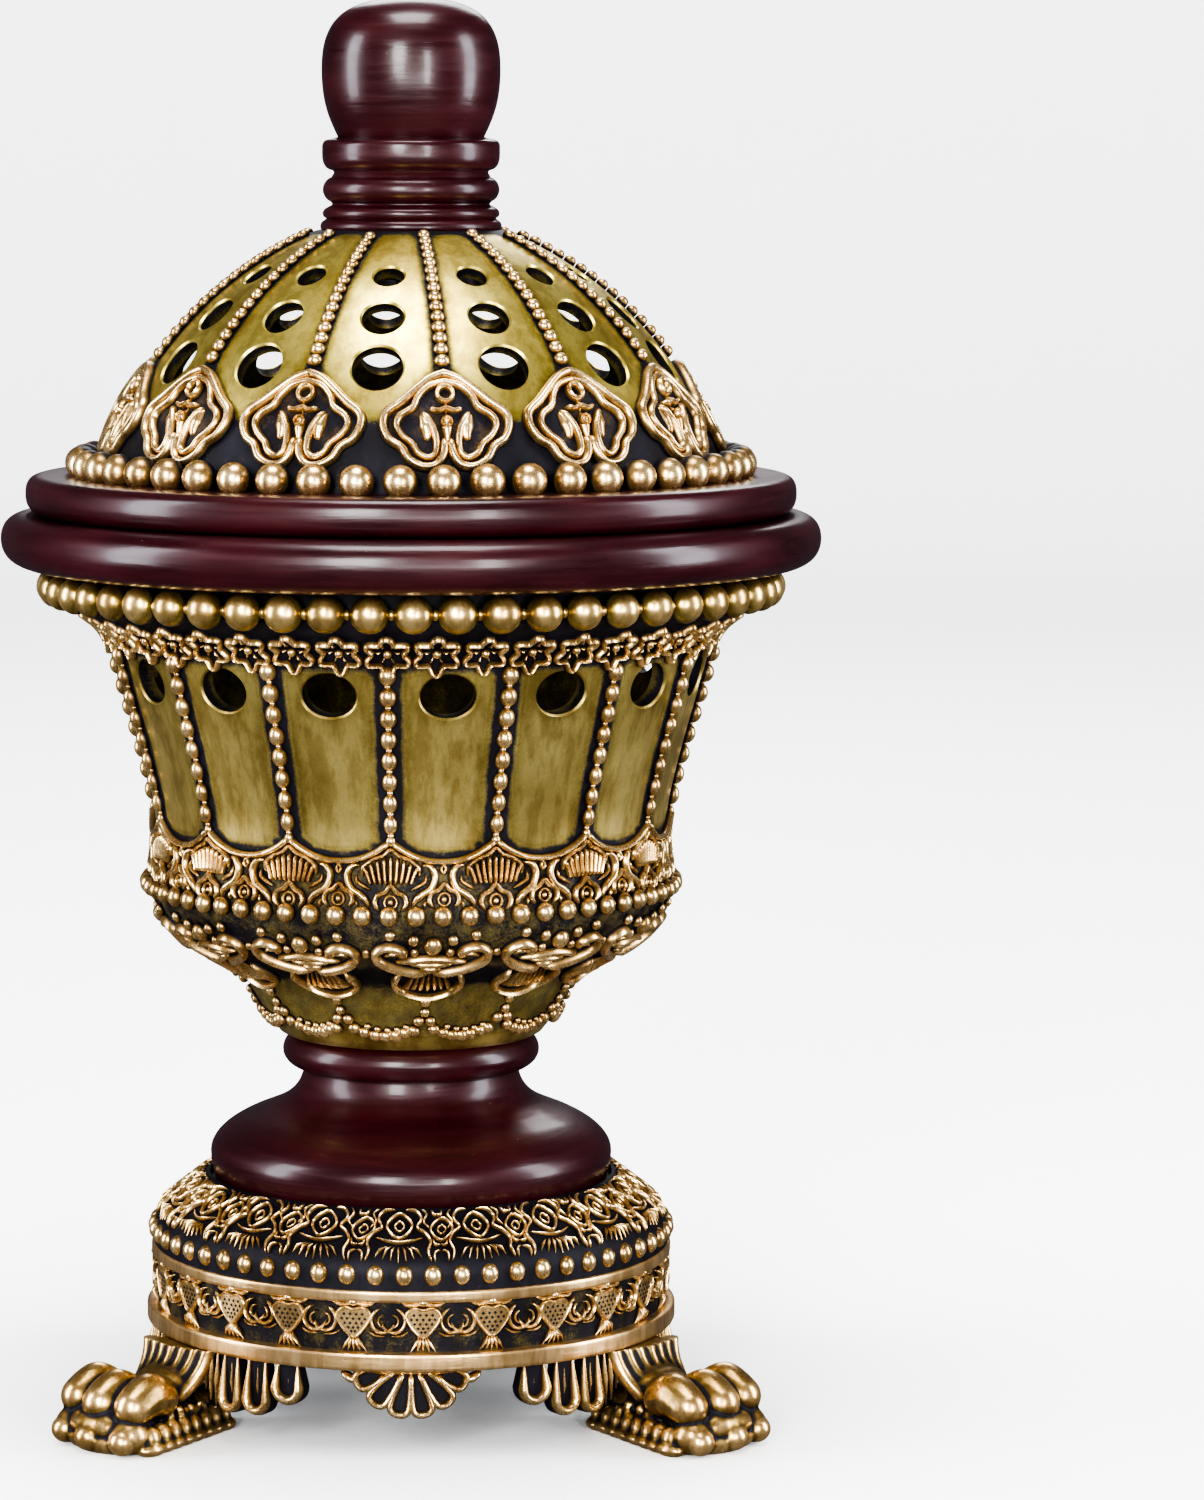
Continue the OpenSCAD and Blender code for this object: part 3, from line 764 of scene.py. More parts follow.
def dome_ribs():
    low, high, count = DOME.length_at(179.6), DOME.length_at(200.6), 15
    rib = Relief()
    pitch = (high - low) / count
    for i in range(count):
        grow = 1.0 - 0.22 * i / count
        rib.bead(0, (i + 0.5) * pitch, 1.3 * grow, pitch * 0.49, 1.15 * grow, 0.35, 14, 9)
    rib.all_round("dome_rib_beads", DOME, low, DOME_PANELS, DOME_PHASE, 0.02, "dome_ribs", "lid")


def mirrored(half):
    """A closed outline from its right half, listed from the top to the bottom on the middle line."""
    half = np.array(half, float)
    left = half[::-1] * [-1, 1]
    return np.concatenate([half, left[1:-1]])


def medallions():
    """Card-shaped medallions round the foot of the dome, with scrolling lines and a small plant."""
    card = flowing([(0, 9.4), (1.9, 8.2), (4.1, 6.7), (6.7, 4.7), (9.3, 2.9), (10.9, 0.6), (10.9, -1.5),
                    (9.9, -3.5), (8.1, -4.6), (7.2, -6.5), (5.6, -7.8), (3.7, -8.3), (2.2, -8.1), (1.1, -7.2),
                    (0.2, -5.8)], per=3)
    outer = flowing([(0, 8.7), (2.2, 7.8), (4.5, 5.9), (7.1, 3.5), (9.6, 1.5), (10.1, -0.7), (9.2, -3.0),
                     (7.4, -4.3), (6.3, -6.3), (4.3, -7.5), (2.3, -7.4), (1.1, -6.2), (0.6, -4.6),
                     (0.55, -2.6)], per=4)
    inner = flowing([(0, 7.2), (2.5, 6.4), (4.3, 4.5), (5.2, 2.6), (7.3, 1.1), (8.0, -0.6), (7.1, -2.4),
                     (5.6, -3.8), (4.8, -5.3), (3.2, -6.1), (2.0, -5.2), (1.8, -3.2), (2.1, -1.2), (2.9, 0.4),
                     (3.9, 1.9)], per=4)
    medal = Relief()
    medal.plate(mirrored(card), 0.25, 1.5, bright=0.24)
    for line, width, height in ((outer, 1.65, 1.65), (inner, 1.35, 1.45)):
        medal.ridge(np.concatenate([line[::-1] * [-1, 1], line[1:]]), width, height, taper=0.02)
    for side in (-1, 1):
        medal.stroke(side, [(3.9, 1.7), (3.3, -0.2), (3.1, -1.8), (3.4, -3.1)], 2.9, 1.3, taper=0.7)
    medal.ridge(circle(0, 4.9, 1.25, 1.35, 16), 1.0, 1.6, closed=True)
    medal.stroke(1, [(-2.7, 2.3), (-1.3, 1.9), (0, 2.3), (1.3, 1.9), (2.7, 2.3)], 1.0, 1.6, taper=0.1)
    medal.ridge([(0, 3.6), (0, 2.4), (0, 1.4)], 1.0, 1.5, taper=0.1)
    medal.ridge([(0, 1.6), (0, 0.2), (0, -1.4), (0, -4.0)], 2.0, 1.35, taper=0.05)
    medal.ridge(circle(0, -0.2, 0.85, steps=12), 0.45, 1.7, closed=True)
    medal.all_round("dome_medallions", DOME, DOME.length_at(171.0), DOME_PANELS, DOME_PHASE, 0.012,
                    "medallions", "lid")


def bead_row(name, node, centre, radius, count, phase, oval=(1, 1), links=0.0, body="stand", material=None):
    """Beads round a ring whose centre line is (radius, height), with small links between them."""
    line = Outline([(centre[0], centre[1] - 5), (centre[0], centre[1] + 5)])
    beads = Relief()
    beads.bead(0, 0, radius * oval[0], radius * oval[1], radius, 0, 20, 12)
    if links:
        gap = math.pi * centre[0] / count
        beads.bead(gap, 0, links * 0.7, links, links, 0, 10, 6)
    beads.all_round(name, line, 5, count, phase, 0.03, node, body, material)


# ---------------- bowl

BOWL_PANELS, BOWL_PHASE = 16, -4.3
FLOWERS, FLOWER_PHASE = 42, 4.5
BELLY_MOTIFS, BELLY_PHASE = 12, 4.8
CORNICE = 58.2


def bowl_outline():
    z = BOWL_Z
    return Outline(joined(
        [(3.4, z)], [(21.4, z)],
        bezier((21.4, z), (22.4, z), (22.6, z + 0.6), (23.4, z + 1.6), 6),
        bezier((23.4, z + 1.6), (25.6, z + 4.4), (27.5, z + 8.5), (30, z + 12), 14),
        bezier((30, z + 12), (34, z + 15), (39, z + 16), (42.6, z + 21.5), 16),
        bezier((42.6, z + 21.5), (44.0, z + 23.6), (44.3, z + 25), (43.8, z + 29), 10),
        bezier((43.8, z + 29), (43.0, z + 34), (43.4, z + 36), (44.2, z + 41), 10),
        bezier((44.2, z + 41), (46.0, z + 50), (48.8, z + 58), (50.9, z + 66.5), 20),
        bezier((50.9, z + 66.5), (51.8, z + 71.5), (57, z + 73), (CORNICE, z + 75), 14),
        [(57.6, 144.3), (57.4, 152.6)]))


BOWL = bowl_outline()
VENT = (127.0, 4.6, 3.8)
SCALLOP_TOP, SCALLOP_LOW = 103.0, 99.5


def scallop_rise(x):
    """How far a panel's lower edge has risen at x, from 0 at its middle to 1 at its sides."""
    return np.abs(x) ** 2.2


def bowl_shell():
    """The bowl, bright in its panels and dark where the relief sits."""
    top = BOWL.length_at(132.6)
    scallop_top, scallop_low = BOWL.length_at(SCALLOP_TOP), BOWL.length_at(SCALLOP_LOW)
    foot = BOWL.length_at(77.4)
    swag = BOWL.length_at(67.6)
    vent = (BOWL.length_at(VENT[0]), VENT[1], VENT[2])

    def brightness(across, up, radius):
        wide = radius * math.pi / BOWL_PANELS
        edge = wide - np.abs(across)
        line = scallop_low + (scallop_top - scallop_low) * scallop_rise(across / wide)
        panel = ease(edge, 1.4, 4.0) * ease(top - up, 0.2, 3.5) * ease(up - line, 0.8, 2.6)
        from_vent = np.hypot(across / vent[1], (up - vent[0]) / vent[2])
        panel = panel * (0.74 + 0.26 * ease(from_vent, 1.0, 1.5))
        lower = 0.62 * ease(foot - up, -1.0, 2.0) * (0.45 + 0.55 * ease(swag - up, -0.5, 1.2))
        ground = 0.17 * ease(line - up, -0.5, 0.5) * ease(up - foot, 4.0, 8.0)
        return 0.07 + 0.78 * panel + lower + ground

    obj = pierced("bowl_pierced_shell", BOWL, 2.9, BOWL_PANELS, BOWL_PHASE, [vent], brightness, 1.2, 0.5)
    settle(obj, "stand", BOWL_PANEL, "panel_gold", "bowl_shell")


def bowl_ribs():
    low, high, count = BOWL.length_at(103.8), BOWL.length_at(132.2), 8
    pitch = (high - low) / count
    rib = Relief()
    for i in range(count):
        wide = 1.15 + 0.3 * i / (count - 1)
        rib.bead(0, (i + 0.5) * pitch, wide, pitch * 0.46, wide * 1.05, 0.35, 16, 10)
        rib.bead(0, i * pitch, 0.55, 0.5, 0.55, 0.25, 8, 6)
    rib.bead(0, -0.9, 0.8, 0.9, 0.8, 0.3, 12, 8)
    rib.all_round("bowl_rib_beads", BOWL, low, BOWL_PANELS, BOWL_PHASE, 0.025, "bowl_ribs")


def flower_frieze():
    flower = Relief()
    t = np.radians(np.arange(54) * 360 / 54)
    r = 2.95 + 0.6 * np.cos(6 * t)
    petals = np.stack([r * np.sin(t) * 1.06, r * np.cos(t) * 1.22], -1)
    flower.ridge(petals, 0.95, 1.35, closed=True)
    for a in np.radians(np.arange(30, 360, 60)):
        flower.ridge([(d * math.sin(a), 1.2 * d * math.cos(a)) for d in (0.9, 1.5, 2.2)], 0.45, 0.7)
    flower.bead(0, 0, 0.75, 0.85, 0.9, 0.4, 12, 8)
    flower.all_round("flower_frieze_relief", BOWL, BOWL.length_at(134.6), FLOWERS, FLOWER_PHASE, 0.03,
                     "flower_frieze")


def palmette_collar():
    """Scalloped edges under the panels, and fans with small arches below them."""
    wide = 44.0 * math.pi / BOWL_PANELS
    base = BOWL.length_at(92.3)
    top, low = BOWL.length_at(SCALLOP_TOP) - base, BOWL.length_at(SCALLOP_LOW) - base
    x = np.linspace(-wide, wide, 29)
    scallop = Relief()
    scallop.ridge(np.stack([x, low + (top - low) * scallop_rise(x / wide)], -1), 1.15, 1.3, taper=0.02)
    scallop.all_round("collar_scallops", BOWL, base, BOWL_PANELS, BOWL_PHASE + 180 / BOWL_PANELS, 0.0,
                      "palmette_collar")

    arch = Relief()
    arch.ridge(flowing([(-1.6, -0.7), (-2.5, 0.4), (-2.2, 1.8), (-0.9, 2.5), (0, 3.5), (0.9, 2.5), (2.2, 1.8),
                        (2.5, 0.4), (1.6, -0.7)], per=3), 1.0, 1.2, taper=0.1)
    arch.ridge(circle(0, 0.8, 1.05, 1.1, 12), 0.5, 0.9, closed=True)
    arch.bead(0, 0.8, 0.5, 0.5, 0.5, 0.3, 10, 6)

    fan = Relief()
    for i in range(-4, 5):
        top_y = 8.1 - 0.08 * i * i - 0.15 * abs(i)
        fan.stroke(1, [(i * 0.80, 3.3), (i * 0.95, 5.2), (i * 1.08, top_y)], 0.74, 1.35, taper=0.1)
    fan.ridge(flowing([(-4.5, 4.6), (-4.5, 6.2), (-2.9, 7.6), (-1.2, 8.3), (0, 9.3), (1.2, 8.3), (2.9, 7.6),
                       (4.5, 6.2), (4.5, 4.6)], per=4), 0.8, 1.25, taper=0.1)
    for side in (-1, 1):
        scroll = [(5.0, 6.6), (6.4, 6.3), (7.1, 4.7), (6.5, 2.8), (5.1, 1.8), (4.0, 0.8), (3.5, -0.5)]
        fan.stroke(side, scroll, 1.3, 1.35, taper=0.2)
        fan.stroke(side, [(5.6, 5.0), (5.5, 3.9), (4.2, 3.0), (3.1, 2.4)], 0.7, 1.05)
        fan.stroke(side, [(8.6, 7.0), (8.1, 5.9), (8.6, 4.9)], 0.6)
        fan.stroke(side, [(5.6, 0.9), (5.4, -0.6)], 0.6)
    fan.include(arch, 0, -0.3)
    fan.include(arch, 8.6, 0.2, scale=0.95)
    fan.all_round("collar_palmettes", BOWL, base, BOWL_PANELS, BOWL_PHASE, 0.015, "palmette_collar")


def shell_fans():
    """Bows and ribbed shells that hang from the bead row under the collar."""
    motif = Relief()
    motif.bead(0, 19.4, 1.5, 1.6, 1.4, 0.5, 16, 10)
    for side in (-1, 1):
        motif.bead(3.2 * side, 20.4, 0.9, 1.0, 0.9, 0.4, 12, 8)
        motif.bead(2.9 * side, 17.9, 0.75, 0.8, 0.75, 0.4, 10, 6)
        motif.bead(7.0 * side, 21.3, 0.9, 0.9, 0.85, 0.4, 10, 6)
        bow = [(0.1, 11.9), (3.0, 12.6), (6.2, 14.1), (8.7, 16.1), (9.1, 18.1), (7.4, 19.2), (5.4, 18.8),
               (4.5, 17.7), (5.6, 16.9)]
        motif.stroke(side, bow, 1.6, 1.8, taper=0.12)
        motif.stroke(side, [(4.9, 17.2), (6.8, 17.5), (7.8, 16.5)], 0.9, 1.0)
        motif.bead(10.8 * side, 17.4, 0.7, 0.8, 0.7, 0.2, 10, 6)
    motif.stroke(1, [(-5.8, 15.2), (-3.2, 16.2), (0, 16.6), (3.2, 16.2), (5.8, 15.2)], 1.3, 1.5, taper=0.2)
    motif.stroke(1, [(-3.6, 14.4), (0, 14.8), (3.6, 14.4)], 1.1, 1.2, taper=0.3)
    motif.bead(0, 13.2, 1.8, 0.7, 1.0, 0.3, 14, 8)

    edge = [(5.5 * math.sin(a), 8.0 - 5.7 * math.cos(a)) for a in np.radians(np.linspace(-122, 122, 41))]
    motif.plate(edge, 0.3, 1.3, bright=0.02)
    motif.ridge(edge, 1.25, 1.6, taper=0.06)
    for i in range(-3, 4):
        low_y = 3.2 + 0.2 * i * i
        motif.ridge([(i * 0.75, 10.4), (i * 1.08, 7.0), (i * 1.32, low_y)], 0.84, 1.75, taper=0.1)
    motif.bead(0, 1.0, 0.9, 1.0, 0.9, 0.3, 12, 8)
    motif.bead(0, -1.3, 0.85, 0.9, 0.8, 0.3, 12, 8)
    motif.all_round("belly_scrolls_and_shells", BOWL, BOWL.length_at(73.3), BELLY_MOTIFS, BELLY_PHASE, 0.015,
                    "shell_fans")


def garland():
    """Swags of small beads, one below each belly motif."""
    pitch = 24.8 * 2 * math.pi / BELLY_MOTIFS
    swag = Relief()
    for side in (-1, 1):
        swag.bead(0.95 * side, 0.7, 1.0, 0.95, 0.9, 0.3, 12, 8)
    steps = 8
    for i in range(1, steps):
        t = i / steps
        x = pitch * t
        y = 0.2 - 2.9 * math.sin(math.pi * t) ** 0.8
        size = 0.95 + 0.3 * math.sin(math.pi * t) + rng.uniform(-0.1, 0.1)
        swag.bead(x, y + rng.uniform(-0.3, 0.3), size, size * 0.92, 1.0, 0.3, 12, 8)
        if 2 <= i <= steps - 2:
            swag.bead(x + 0.7, y + 1.3, 0.65, 0.5, 0.6, 0.2, 10, 6)
    swag.all_round("garland_beads", BOWL, BOWL.length_at(70.0), BELLY_MOTIFS, BELLY_PHASE, 0.03,
                   "garland_swags")


# ---------------- base

DRUM_R, DRUM_Z, SKIRT_Z = 43.5, foot_of("base_drum"), top_of("base_drum")
SKIRT_MOTIFS, SKIRT_PHASE = 19, -2.8
DRUM_MOTIFS, DRUM_PHASE = 24, 2.6
DRUM = Outline([(DRUM_R, DRUM_Z - 12), (DRUM_R, SKIRT_Z)])
SKIRT = Outline(joined([(44.2, SKIRT_Z)],
                       bezier((44.2, SKIRT_Z + 2.6), (44.1, 32.8), (43.0, 34.2), (40.9, 35.7), 14),
                       [(34.9, 40.35)]))


def base_skirt():
    wall = [(SKIRT.r[i], SKIRT.z[i]) for i in range(0, len(SKIRT.s), 2)]
    under = [(ROD_R, 35.8), (36, 35.8), (41, 31.5), (41, SKIRT_Z)]
    obj = turned("skirt_shell", joined(under, wall, [(34.55, 40.35), (34.5, 38.8), (ROD_R, 38.8)]))
    rub_evenly(obj, 0.10)
    settle(obj, "stand", PANEL, "panel_gold", "base_skirt")


def skirt_relief():
    """Scrolls, diamond eyes and pointed leaves on the slope above the drum."""
    eye = Relief()
    eye.ridge(flowing([(0, 2.7), (2.1, 0.1), (0, -2.7), (-2.1, 0.1)], closed=True), 0.62, 0.95, closed=True)
    eye.ridge(flowing([(0, 1.1), (0.8, 0), (0, -1.1), (-0.8, 0)], closed=True, per=3), 0.4, 0.7, closed=True)
    motif = Relief()
    motif.include(eye, 0, 2.6)
    motif.stroke(1, [(-3.9, 0.4), (-2.0, -0.5), (0, -0.9), (2.0, -0.5), (3.9, 0.4)], 0.55)
    for x in (-3.9, -2.6, -1.3, 0, 1.3, 2.6, 3.9):
        leaf = [(x * 0.5, -1.5), (x * 0.8, -2.7 + 0.05 * abs(x)), (x, -4.5 + 0.22 * abs(x))]
        motif.ridge(leaf, 0.55, 1.0, taper=0.15)
    motif.include(eye, 6.9, 1.9, scale=0.88)
    for side in (-1, 1):
        scroll = [(0.8, 6.4), (2.6, 5.9), (3.5, 4.2), (2.9, 2.4), (4.2, 1.2), (5.2, -0.6), (4.9, -2.6),
                  (5.5, -4.3)]
        motif.stroke(side, scroll, 0.62, 0.95, taper=0.12)
        motif.stroke(side, [(3.4, 6.6), (4.3, 5.2), (3.9, 3.6), (4.9, 2.4)], 0.5)
        motif.stroke(side, [(6.9, 5.6), (5.6, 5.0), (5.0, 6.4)], 0.55)
        motif.stroke(side, [(5.4, 0.2), (6.0, -1.4), (6.9, -1.1)], 0.5)
        motif.stroke(side, [(6.1, -4.4), (6.0, -3.0), (6.9, -2.3)], 0.5)
    motif.all_round("skirt_relief", SKIRT, SKIRT.length_at(36.1), SKIRT_MOTIFS, SKIRT_PHASE, 0.012,
                    "base_skirt")


def bands():
    for node, tag, r in (("lower_band", "lower", 45.45), ("upper_band", "upper", 44.65)):
        z0, z1 = foot_of(node), top_of(node)
        outer = joined(bezier((DRUM_R + 0.3, z0), (r, z0), (r, z0 + 0.1), (r, z0 + 0.7), 5),
                       bezier((r, z1 - 0.7), (r, z1 - 0.1), (r, z1), (DRUM_R + 0.3, z1), 5))
        obj = turned("gold_band_" + tag, joined([(DRUM_R - 0.02, z0)], outer, [(DRUM_R - 0.02, z1)]),
                     FINE_SIDES)
        rub_evenly(obj, 0.85)
        settle(obj, "stand", BAND, "band_gold", node)


def drum():
    z0, z1, inner = DRUM_Z, SKIRT_Z, DRUM_R - 2.5
    section = [(30, z0), (DRUM_R, z0), (DRUM_R, z1), (inner, z1), (inner, z0 + 3), (30, z0 + 3)]
    obj = turned("drum_shell", section)
    rub_evenly(obj, 0.20)
    settle(obj, "stand", PANEL, "panel_gold", "base_drum")


def drum_motifs():
    """A pitted heart under a small curtain, with a curl on each side and a tassel below."""
    motif = Relief()
    heart = flowing([(0, 2.7), (1.5, 3.0), (2.7, 2.0), (2.3, 0.4), (0, -1.9), (-2.3, 0.4), (-2.7, 2.0),
                     (-1.5, 3.0)], closed=True, per=4)
    motif.plate(heart, 0.85, 1.2, bright=0.75)
    motif.ridge(heart, 0.7, 1.1, closed=True)
    for y, row in ((1.9, (-1.5, -0.5, 0.5, 1.5)), (1.15, (-1.9, -1.0, 0, 1.0, 1.9)),
                   (0.4, (-1.4, -0.5, 0.5, 1.4)), (-0.3, (-0.8, 0, 0.8)), (-0.95, (-0.3, 0.3))):
        for x in row:
            motif.plate([(x, y - 0.3), (x + 0.3, y), (x, y + 0.3), (x - 0.3, y)], 0.87, 2.0, bright=0.0)
    motif.stroke(1, [(-3.7, 4.1), (-2.4, 3.5), (0, 3.7), (2.4, 3.5), (3.7, 4.1)], 0.8, 1.1, taper=0.15)
    motif.bead(0, 3.9, 0.9, 0.75, 1.0, 0.3, 12, 7)
    for side in (-1, 1):
        motif.ridge(circle(4.8 * side, 0.9, 1.9 * side, 2.0, 14, 100, 250), 0.75, 1.1, taper=0.15)
        motif.ridge(circle(4.9 * side, 0.8, 0.9 * side, 1.0, 10, 80, 220), 0.45, 0.85, taper=0.2)
        motif.stroke(side, [(2.3, -0.9), (3.6, -1.6), (5.2, -1.7)], 0.5, 0.85)
    for x in (-1.9, -0.95, 0, 0.95, 1.9):
        motif.ridge([(x * 0.25, -1.7), (x * 0.6, -2.9), (x * 1.1, -4.4)], 0.8, 1.15, taper=0.1)
    motif.all_round("drum_leaf_motifs", DRUM, DRUM.length_at(22.5), DRUM_MOTIFS, DRUM_PHASE, 0.015,
                    "drum_motifs")


def hanging_lobe(relief, x, top, low, wide):
    """A drop-shaped lobe: a thick bright rim round a near-black plate, painted shade standing for the dark
    seen through the open lobe.
    """
    r = wide / 2 - 0.8
    turns = np.linspace(-math.pi / 2, math.pi / 2, 13)
    arc = [(x + r * math.sin(a), low + wide / 2 - r * math.cos(a)) for a in turns]
    loop = [(x - 0.8 * r, top)] + arc + [(x + 0.8 * r, top)]
    # The near-black plate inside the rim is painted shade, not metal.
    relief.plate(loop, 0.2, 1.3, sink=1.8, bright=0.02)
    relief.ridge(loop, 1.7, 1.7, taper=0.02, sink=1.8)
    relief.ridge([(x, top - 1), (x, (top + low) / 2), (x, low + wide * 0.6)], 0.6, 0.6)


def apron_shells():
    """Open-petalled shells under the drum, between the legs; their open petals are filled with painted shade.
    """
    shell = Relief()
    for a in np.radians([-62.5, -37.5, -12.5, 12.5, 37.5, 62.5]):
        out = np.array([math.sin(a), -math.cos(a)])
        side = np.array([math.cos(a), math.sin(a)])
        top, mid, end = (np.array([0, 2.4]) + out * d for d in (2.4 / math.cos(a) + 0.2, 6.6, 9.3))
        petal = flowing([top - side * 0.6, mid - side * 1.35, end - side * 1.45, end + out * 0.7,
                         end + side * 1.45, mid + side * 1.35, top + side * 0.6], per=4)
        # Each petal is filled with a black plate: painted shade where the petal is open.
        shell.plate(petal, 0.15, 1.3, sink=1.5, bright=0.0)
        shell.ridge(petal, 1.25, 1.5, taper=0.05, sink=1.5)
    for side in (-1, 1):
        shell.stroke(side, [(8.4, -1.7), (9.9, -1.5), (11.6, -0.4)], 1.5, 1.4, taper=0.4)
    shell.ridge([(-11, -0.2), (-4, -0.2), (4, -0.2), (11, -0.2)], 0.9, 1.2, taper=0.1)
    shell.all_round("apron_shell_relief", DRUM, DRUM.length_at(DRUM_Z), 3, 0, 0.0, "apron_shells")


# ---------------- feet

# Each foot's angle round the axis, and how far its paw is turned on the leg towards the front.
FEET = {"foot_front_left": (-60, 16), "foot_front_right": (60, -16), "foot_rear": (180, 0)}
LEG_R = 43.0


class Lump:
    """Eggs gathered into one mesh, to be fused afterwards."""

    def __init__(self, turn):
        rows, around = 13, 20
        lat, lon = np.meshgrid(np.linspace(0, math.pi, rows), np.arange(around) * math.pi / 10, indexing="ij")
        ball = [np.sin(lat) * np.cos(lon), np.sin(lat) * np.sin(lon), np.cos(lat)]
        self.unit = np.stack(ball, -1).reshape(-1, 3)
        rings = [list(range(i * around, (i + 1) * around)) for i in range(rows)]
        self.unit_faces = [[a[k], b[k], b[(k + 1) % around], a[(k + 1) % around]]
                           for a, b in zip(rings, rings[1:]) for k in range(around)]
        self.verts, self.faces, self.turn = [], [], math.radians(turn)

    def egg(self, x, y, z, radii, pitch=0.0):
        """An egg at paw coordinates, with y out from the leg, tipped down towards the claws by pitch."""
        v = self.unit * radii
        t = math.radians(pitch)
        v = v @ np.array([[1, 0, 0], [0, math.cos(t), -math.sin(t)], [0, math.sin(t), math.cos(t)]])
        v = v + [x, y, z]
        start = len(self.verts) * len(self.unit)
        c, d = math.cos(self.turn), math.sin(self.turn)
        x, y, z = v.T
        self.verts.append(np.stack([x * c + y * d, -LEG_R + x * d - y * c, z], -1))
        self.faces.extend([[i + start for i in face] for face in self.unit_faces])

    def chain(self, points, radii, steps=8):
        """Eggs along a smooth line, with a radius for each of its points."""
        line = flowing([(p[1], p[2]) for p in points], per=steps)
        t = np.linspace(0, len(points) - 1, len(line))
        x = np.interp(t, range(len(points)), [p[0] for p in points])
        r = np.interp(t, range(len(points)), radii)
        for i in range(len(line)):
            self.egg(x[i], line[i][0], line[i][1], (r[i], r[i], r[i]))


def paw_mesh(turn):
    """The paw and leg as one cast lump, pointing along -Y from the axis before it is turned to its place."""
    paw = Lump(turn)
    for y, half in ((-2.0, 5.0), (1.5, 5.6), (6.0, 6.8), (11.0, 7.9), (16.0, 8.6), (19.5, 8.4)):
        paw.egg(0, y, 1.9, (half, 5.0, 2.7))
        paw.egg(0, y, 4.2, (half * 0.86, 5.0, 3.2))
    for side in (-1, 1):
        for i in range(-1, 7):
            y = 0.2 + 2.9 * i
            paw.egg(side * (5.1 + 0.62 * i), y, 2.6, (1.7, 1.9, 2.2))
            paw.egg(side * (5.4 + 0.62 * i), y, 1.0, (1.9, 3.0, 1.3))
        for i in range(16):
            y = rng.uniform(2, 12)
            size = rng.uniform(0.5, 0.8)
            x = side * (5.4 + 0.16 * y + rng.uniform(-0.4, 0.3))
            paw.egg(x, y, rng.uniform(4.4, 6.0), (size, size, size))
    for x, front in ((-6.5, 20.6), (0, 21.8), (6.5, 20.6)):
        toe = [(x * 0.88, front - 8.5, 8.0), (x * 0.95, front - 5, 9.2), (x, front - 1.4, 7.8)]
        paw.chain(toe, (2.9, 3.75, 3.3))
        paw.egg(x * 1.04, front - 0.5, 3.2, (3.15, 3.6, 3.1))
        paw.egg(x * 1.06, front + 1.6, 2.6, (2.5, 2.4, 2.3))
    paw.egg(0, 8.5, 5.8, (6.2, 6.5, 3.6), 10)
    for t in np.linspace(0, 1, 8):
        radii = (6.6 - 0.6 * t, 3.4 + 0.6 * t, 3.2)
        paw.egg(0, 0.6 + 9.6 * t ** 1.5, 13.6 - 6.6 * t ** 0.75, radii, 45 - 35 * t)
    for k in range(-3, 4):
        spread = 2.15 * k
        drop = 0.22 * k * k
        lock = [(spread * 1.12, 3.4 - 0.35 * abs(k), 15.4), (spread, 4.6 - 0.3 * abs(k), 12.6 - drop * 0.5),
                (spread * 0.86, 7.2, 9.9 - drop), (spread * 0.8, 11.0, 8.9 - drop)]
        paw.chain(lock, (1.25, 1.2, 1.1, 0.7), 7)
    mesh = bpy.data.meshes.new("paw")
    mesh.from_pydata((np.concatenate(paw.verts) * MM).tolist(), [], paw.faces)
    clean(mesh, weld=1e-7, outward=False)
    return mesh


def read(data, what, size, kind=float):
    """Values of a mesh's vertices or edges, one row of the given size for each."""
    values = np.empty(len(data) * size, kind)
    data.foreach_get(what, values)
    return values.reshape(-1, size)


def relax(co, edges, times):
    """Vertex positions averaged with their neighbours a number of times."""
    count = np.bincount(edges.ravel(), minlength=len(co))[:, None]
    for _ in range(times):
        total = np.zeros_like(co)
        np.add.at(total, edges[:, 0], co[edges[:, 1]])
        np.add.at(total, edges[:, 1], co[edges[:, 0]])
        co = 0.5 * co + 0.5 * total / np.maximum(count, 1)
    return co


def cavity(mesh, spread):
    """How far each vertex stands out of its smoothed neighbourhood, in mm."""
    co = read(mesh.vertices, "co", 3)
    smooth = relax(co, read(mesh.edges, "vertices", 2, int), spread)
    return ((co - smooth) * read(mesh.vertices, "normal", 3)).sum(1) / MM


